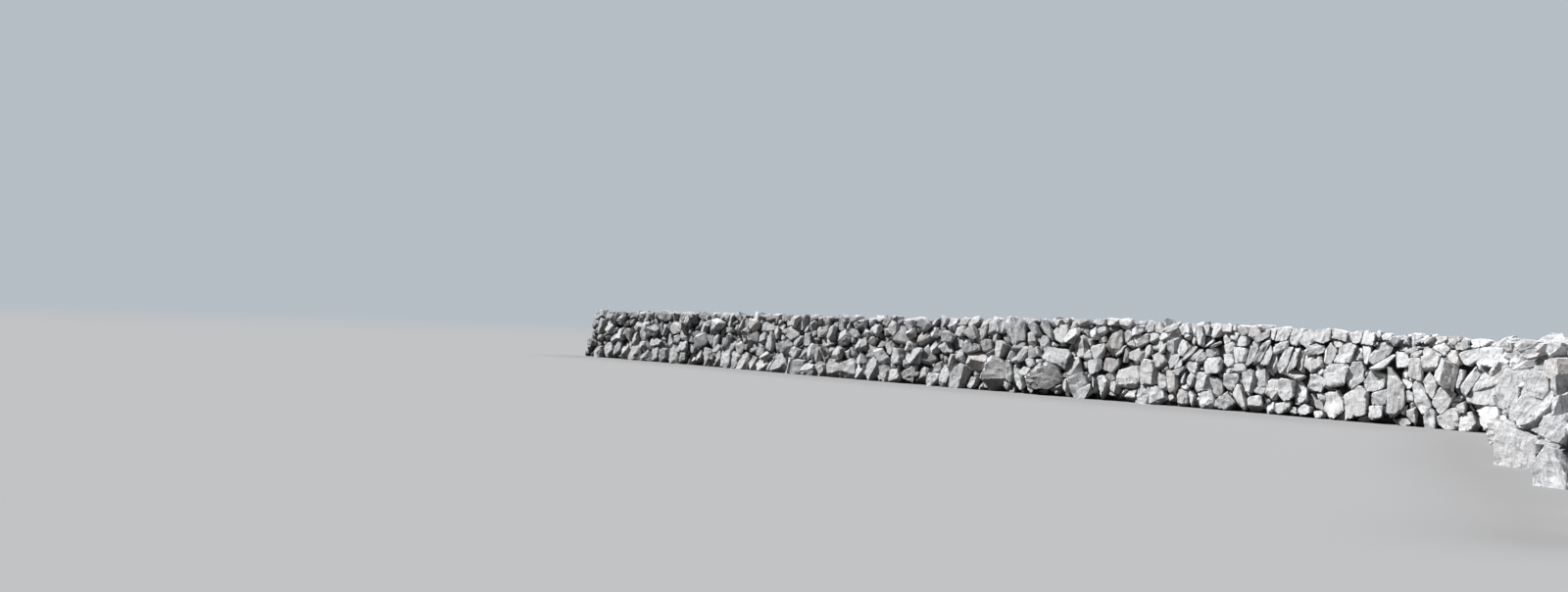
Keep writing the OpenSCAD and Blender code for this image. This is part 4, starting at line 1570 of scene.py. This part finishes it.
@dataclass
class FaceWork:
    """All the stones that show, sorted into the nodes that they stand for.

    The cuts are the quads along an edge of a stone's template: most on the broad slabs of the return run,
    fewer at the back and fewest on the small stones. Stones under the two sizes are middling and small.
    """

    plan: WallPlan
    view: Viewpoint
    finish: bpy.types.Material
    head_inset: float = 0.19
    far_inset: float = 0.2
    broad_cuts: int = 15
    front_cuts: int = 9
    back_cuts: int = 7
    middling_cuts: int = 6
    small_cuts: int = 4
    middling_size: float = 0.12
    small_size: float = 0.085
    warmth_spread: float = 0.17
    warmest: float = 0.8

    def lay(self, rng: np.random.Generator) -> Masonry:
        """Lays the ends, the stones seen in the photograph, the crest, the footing and then all the rest.

        Args:
            rng: the source of every choice.

        Returns:
            The laid stones.
        """
        mason = Mason(self.plan, rng)
        mason.lay_end(self.head_inset, True)
        mason.lay_end(self.plan.length - self.far_inset, False)
        SeenStones(self.plan, self.view).lay(mason)
        mason.lay_crest()
        faces = (Side.FRONT, Side.BACK)
        for side in faces:
            mason.lay_footing(side)
        LOG.info("ends, seen stones, crest and footing: %d stones", len(mason.masonry))
        for kind in FACE_KINDS:
            for side in faces:
                mason.search(kind, side)
        for side in faces:
            for kind in FILLING_KINDS:
                mason.search(kind, side)
        return mason.masonry

    def build(self, rng: np.random.Generator) -> list[bpy.types.Object]:
        """Builds one piece of joined stones for each node.

        Args:
            rng: the source of every choice.

        Returns:
            The pieces.
        """
        cutter = StoneCutter(self.plan, self.lay(rng), rng)
        count = len(cutter.s)
        warmth = np.clip(rng.normal(0.0, self.warmth_spread, count), 0.0, self.warmest)
        cuts = np.where(cutter.sides == Side.BACK.value, self.back_cuts, self.front_cuts)
        cuts = np.where(cutter.sizes < self.middling_size, self.middling_cuts, cuts)
        cuts = np.where(cutter.sizes < self.small_size, self.small_cuts, cuts)
        cuts = np.where(cutter.seen & (cutter.s > self.plan.corner_end), self.broad_cuts, cuts)
        segment = np.searchsorted(self.plan.segment_starts, cutter.s, side="right") - 1
        segment = np.clip(segment, 0, len(self.plan.segments) - 1)
        course = np.searchsorted(self.plan.seats, cutter.heights, side="right") - 1
        pieces = []
        faces = 0
        for k, name in enumerate(self.plan.segments):
            for level, kind in enumerate(Course):
                chosen = np.flatnonzero((segment == k) & (course == level))
                batches = [cutter.cut(chosen[cuts[chosen] == c], int(c)) for c in np.unique(cuts[chosen])]
                node = f"{name}_{kind.value}"
                piece = self.join(f"{node}_stones", batches, cutter.tones, warmth)
                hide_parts(node)
                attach(piece, ROOT)
                faces += len(piece.data.polygons)
                LOG.info("%s: %d stones, %d faces", piece.name, len(chosen), len(piece.data.polygons))
                pieces.append(piece)
        LOG.info("%d stones, %d triangles", count, 2 * faces)
        return pieces

    def join(self, name: str, batches: list[StoneMeshes], tones: np.ndarray,
             warmth: np.ndarray) -> bpy.types.Object:
        """Joins batches of stones into one object, with each stone's tone and warmth on its points.

        Args:
            name: the piece's name.
            batches: the stones, by their templates.
            tones: every stone's tone.
            warmth: every stone's warmth.

        Returns:
            The piece.
        """
        quads, start = [], 0
        for batch in batches:
            stones, each = batch.points.shape[:2]
            first_points = start + each * np.arange(stones)
            quads.append((batch.quads[None] + first_points[:, None, None]).reshape(-1, 4))
            start += stones * each
        owner = np.concatenate([np.repeat(batch.stones, batch.points.shape[1]) for batch in batches])
        attributes = {"tone": tones[owner], "warmth": warmth[owner],
                      "recess": np.concatenate([batch.recess.ravel() for batch in batches]),
                      "stone_point": np.concatenate([batch.local.reshape(-1, 3) for batch in batches])}
        points = np.concatenate([batch.points.reshape(-1, 3) for batch in batches])
        return mesh_object(name, points, np.concatenate(quads), attributes, self.finish)


@dataclass
class Hearting:
    """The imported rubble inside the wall: one closed core in each segment."""

    plan: WallPlan
    finish: bpy.types.Material
    inset: float = 0.15
    top_cover: float = 0.24
    ring_step: float = 0.09
    side_rows: int = 14
    top_rows: int = 5
    fewest_rings: int = 4
    foot: float = 0.02
    lump_height: float = 0.022
    lump_length: float = 0.16
    lump_waves: int = 9

    def build(self, rng: np.random.Generator) -> list[bpy.types.Object]:
        """Builds the cores.

        Args:
            rng: the source of the lumps.

        Returns:
            One piece for each segment.
        """
        starts = self.plan.segment_starts.copy()
        starts[0] = self.inset
        starts[-1] -= self.inset
        pieces = []
        for name, low, high in zip(self.plan.segments, starts[:-1], starts[1:]):
            piece = self.core(f"{name}_hearting", float(low), float(high), rng)
            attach(piece, ROOT)
            LOG.info("%s: %d faces", piece.name, len(piece.data.polygons))
            pieces.append(piece)
        return pieces

    def core(self, name: str, low: float, high: float, rng: np.random.Generator) -> bpy.types.Object:
        """One core: a battered section carried along the centre line, with lumps, and closed at both ends.

        Around the section the parameter runs up the front, over the top and down the back. The rings at the
        ends shrink to the middle line of the section in one step.

        Args:
            name: the piece's name.
            low: where it starts along the wall.
            high: where it ends.
            rng: the source of the lumps.

        Returns:
            The piece.
        """
        rings = max(self.fewest_rings, int(round((high - low) / self.ring_step)))
        s = np.linspace(low, high, rings + 1)
        up = np.linspace(0.0, 1.0, self.side_rows)
        over = np.linspace(-1.0, 1.0, self.top_rows)[1:-1]
        height = np.concatenate([up, np.ones(len(over)), up[::-1]])
        side = np.concatenate([-np.ones(self.side_rows), over, np.ones(self.side_rows)])
        top = self.plan.crest(s)[:, None] - self.top_cover
        z = self.foot + height[None] * (top - self.foot)
        across = side[None] * (self.plan.half_width(z) - self.inset)
        place = s[:, None] + self.plan.rake(z) * np.maximum(0.0, 1.0 - s[:, None] / self.plan.head_length)
        points = self.plan.place(place, across, z)
        lumps = self.lump_height * ripples(points, self.lump_length, self.lump_waves, rng)
        points = points + lumps[..., None] * self.outward(s, side, height)
        columns = points.shape[1]
        index = np.arange((rings + 1) * columns).reshape(rings + 1, columns)
        follow = np.roll(index, -1, axis=1)
        walls = np.stack([index[:-1], index[1:], follow[1:], follow[:-1]], -1).reshape(-1, 4)
        caps = [self.cap(index[0], False), self.cap(index[-1], True)]
        points = points.reshape(-1, 3)
        points[:, 2] = np.maximum(points[:, 2], 0.0)
        return mesh_object(name, points, np.concatenate([walls, *caps]), {}, self.finish)

    def outward(self, s: np.ndarray, side: np.ndarray, height: np.ndarray) -> np.ndarray:
        """Roughly outward directions round the section: across on the sides and up on the top.

        Args:
            s: distances of the rings.
            side: which side of the section each column is on.
            height: each column's height, from 0 at the foot to 1 at the top.

        Returns:
            A vector for each ring and column.
        """
        backward = self.plan.backward(s)[:, None]
        upward = (height >= 1.0) & (np.abs(side) < 1.0)
        return np.where(upward[None, :, None], UP, np.sign(side)[None, :, None] * backward)

    def cap(self, ring: np.ndarray, far: bool) -> np.ndarray:
        """Quads that close an end by joining each point of the front to its partner on the back.

        Args:
            ring: the indices of the end's points, round the section.
            far: whether it is the far end.

        Returns:
            The quads, facing out.
        """
        half = len(ring) // 2
        front, back = ring[:half], ring[::-1][:half]
        quads = np.stack([front[:-1], back[:-1], back[1:], front[1:]], -1)
        return quads if far else quads[:, [0, 3, 2, 1]]


@dataclass(frozen=True)
class Lamp:
    """One distant lamp.

    It shines from an angle about the upright, counted from the front of the long run, and from an angle above
    the horizon. Its width, also an angle, softens its shadows.
    """

    name: str
    turn: float
    height: float
    strength: float
    width: float
    colour: str

    def hang(self) -> None:
        """Makes the lamp."""
        data = bpy.data.lights.new(self.name, "SUN")
        data.energy = self.strength
        data.angle = self.width
        data.color = linear(self.colour)[:3]
        lamp = bpy.data.objects.new(self.name, data)
        lamp.rotation_euler = (math.pi / 2.0 - self.height, 0.0, self.turn)
        bpy.context.scene.collection.objects.link(lamp)


@dataclass(frozen=True)
class Studio:
    """Light, background and floor, which fades into the background between two distances."""

    sun: Lamp = Lamp("sun", math.radians(-50.0), math.radians(47.0), 6.7, math.radians(3.0), "#fefeff")
    fill: Lamp = Lamp("fill", math.radians(150.0), math.radians(38.0), 1.9, math.radians(30.0), "#f2f5fa")
    sky: str = "#e6e9ee"
    sky_strength: float = 0.08
    backdrop: str = "#c9d2da"
    backdrop_strength: float = 0.8
    floor: str = "#909090"
    floor_bounce: str = "#3a3a38"
    floor_reach: float = 400.0
    fade: tuple[float, float] = (25.0, 110.0)

    def set_light(self) -> None:
        """Makes the sun, a soft light for the back, an even pale sky, and a plain tone behind everything."""
        self.sun.hang()
        self.fill.hang()
        shade = Shade(bpy.data.worlds.new("pale sky"))
        sky = shade.add("ShaderNodeBackground", {"in Color": linear(self.sky),
                                                 "in Strength": self.sky_strength})
        plain = shade.add("ShaderNodeBackground", {"in Color": linear(self.backdrop),
                                                   "in Strength": self.backdrop_strength})
        path = shade.add("ShaderNodeLightPath").outputs["Is Camera Ray"]
        mix = shade.add("ShaderNodeMixShader", None, {0: path, 1: sky.outputs[0], 2: plain.outputs[0]})
        shade.add("ShaderNodeOutputWorld", None, {"Surface": mix.outputs[0]})
        bpy.context.scene.world = shade.owner
        bpy.context.scene.view_settings.view_transform = "Standard"

    def set_floor(self) -> None:
        """Makes the plain pale floor, which fades into the tone behind everything with distance.

        To the light that it throws back it is darker than it looks, so that the wall's foot doesn't glow.
        """
        shade = Shade(bpy.data.materials.new("plain floor"))
        place = shade.add("ShaderNodeTexCoord").outputs["Object"]
        distance = shade.add("ShaderNodeVectorMath", {"operation": "LENGTH"}, {0: place}).outputs["Value"]
        near, distant = self.fade
        fade = shade.add("ShaderNodeMapRange", {"interpolation_type": "SMOOTHSTEP", "in From Min": near,
                                                "in From Max": distant}, {"Value": distance})
        seen = shade.add("ShaderNodeBsdfDiffuse", {"in Color": linear(self.floor)})
        unseen = shade.add("ShaderNodeBsdfDiffuse", {"in Color": linear(self.floor_bounce)})
        path = shade.add("ShaderNodeLightPath").outputs["Is Camera Ray"]
        surface = shade.add("ShaderNodeMixShader", None, {0: path, 1: unseen.outputs[0], 2: seen.outputs[0]})
        far = shade.add("ShaderNodeEmission", {"in Color": linear(self.backdrop),
                                               "in Strength": self.backdrop_strength})
        mix = shade.add("ShaderNodeMixShader", None, {0: fade.outputs["Result"], 1: surface.outputs[0],
                                                      2: far.outputs[0]})
        shade.add("ShaderNodeOutputMaterial", None, {"Surface": mix.outputs[0]})
        corners = self.floor_reach * np.array([[-1.0, -1.0, 0.0], [1.0, -1.0, 0.0], [1.0, 1.0, 0.0],
                                               [-1.0, 1.0, 0.0]])
        floor = mesh_object("floor", corners, np.array([[0, 1, 2, 3]]), {}, shade.owner)


def main() -> None:
    """Builds the wall's looks and the studio round it."""
    logging.basicConfig(level=logging.INFO, format="%(name)s: %(message)s")
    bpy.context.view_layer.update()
    rng = np.random.default_rng(SEED)
    view = Viewpoint()
    view.make_camera()
    plan = WallPlan()
    FaceWork(plan, view, FieldLimestone().material()).build(rng)
    Hearting(plan, HeartingRubble().material()).build(rng)
    studio = Studio()
    studio.set_light()
    studio.set_floor()


if __name__ == "__main__":
    main()
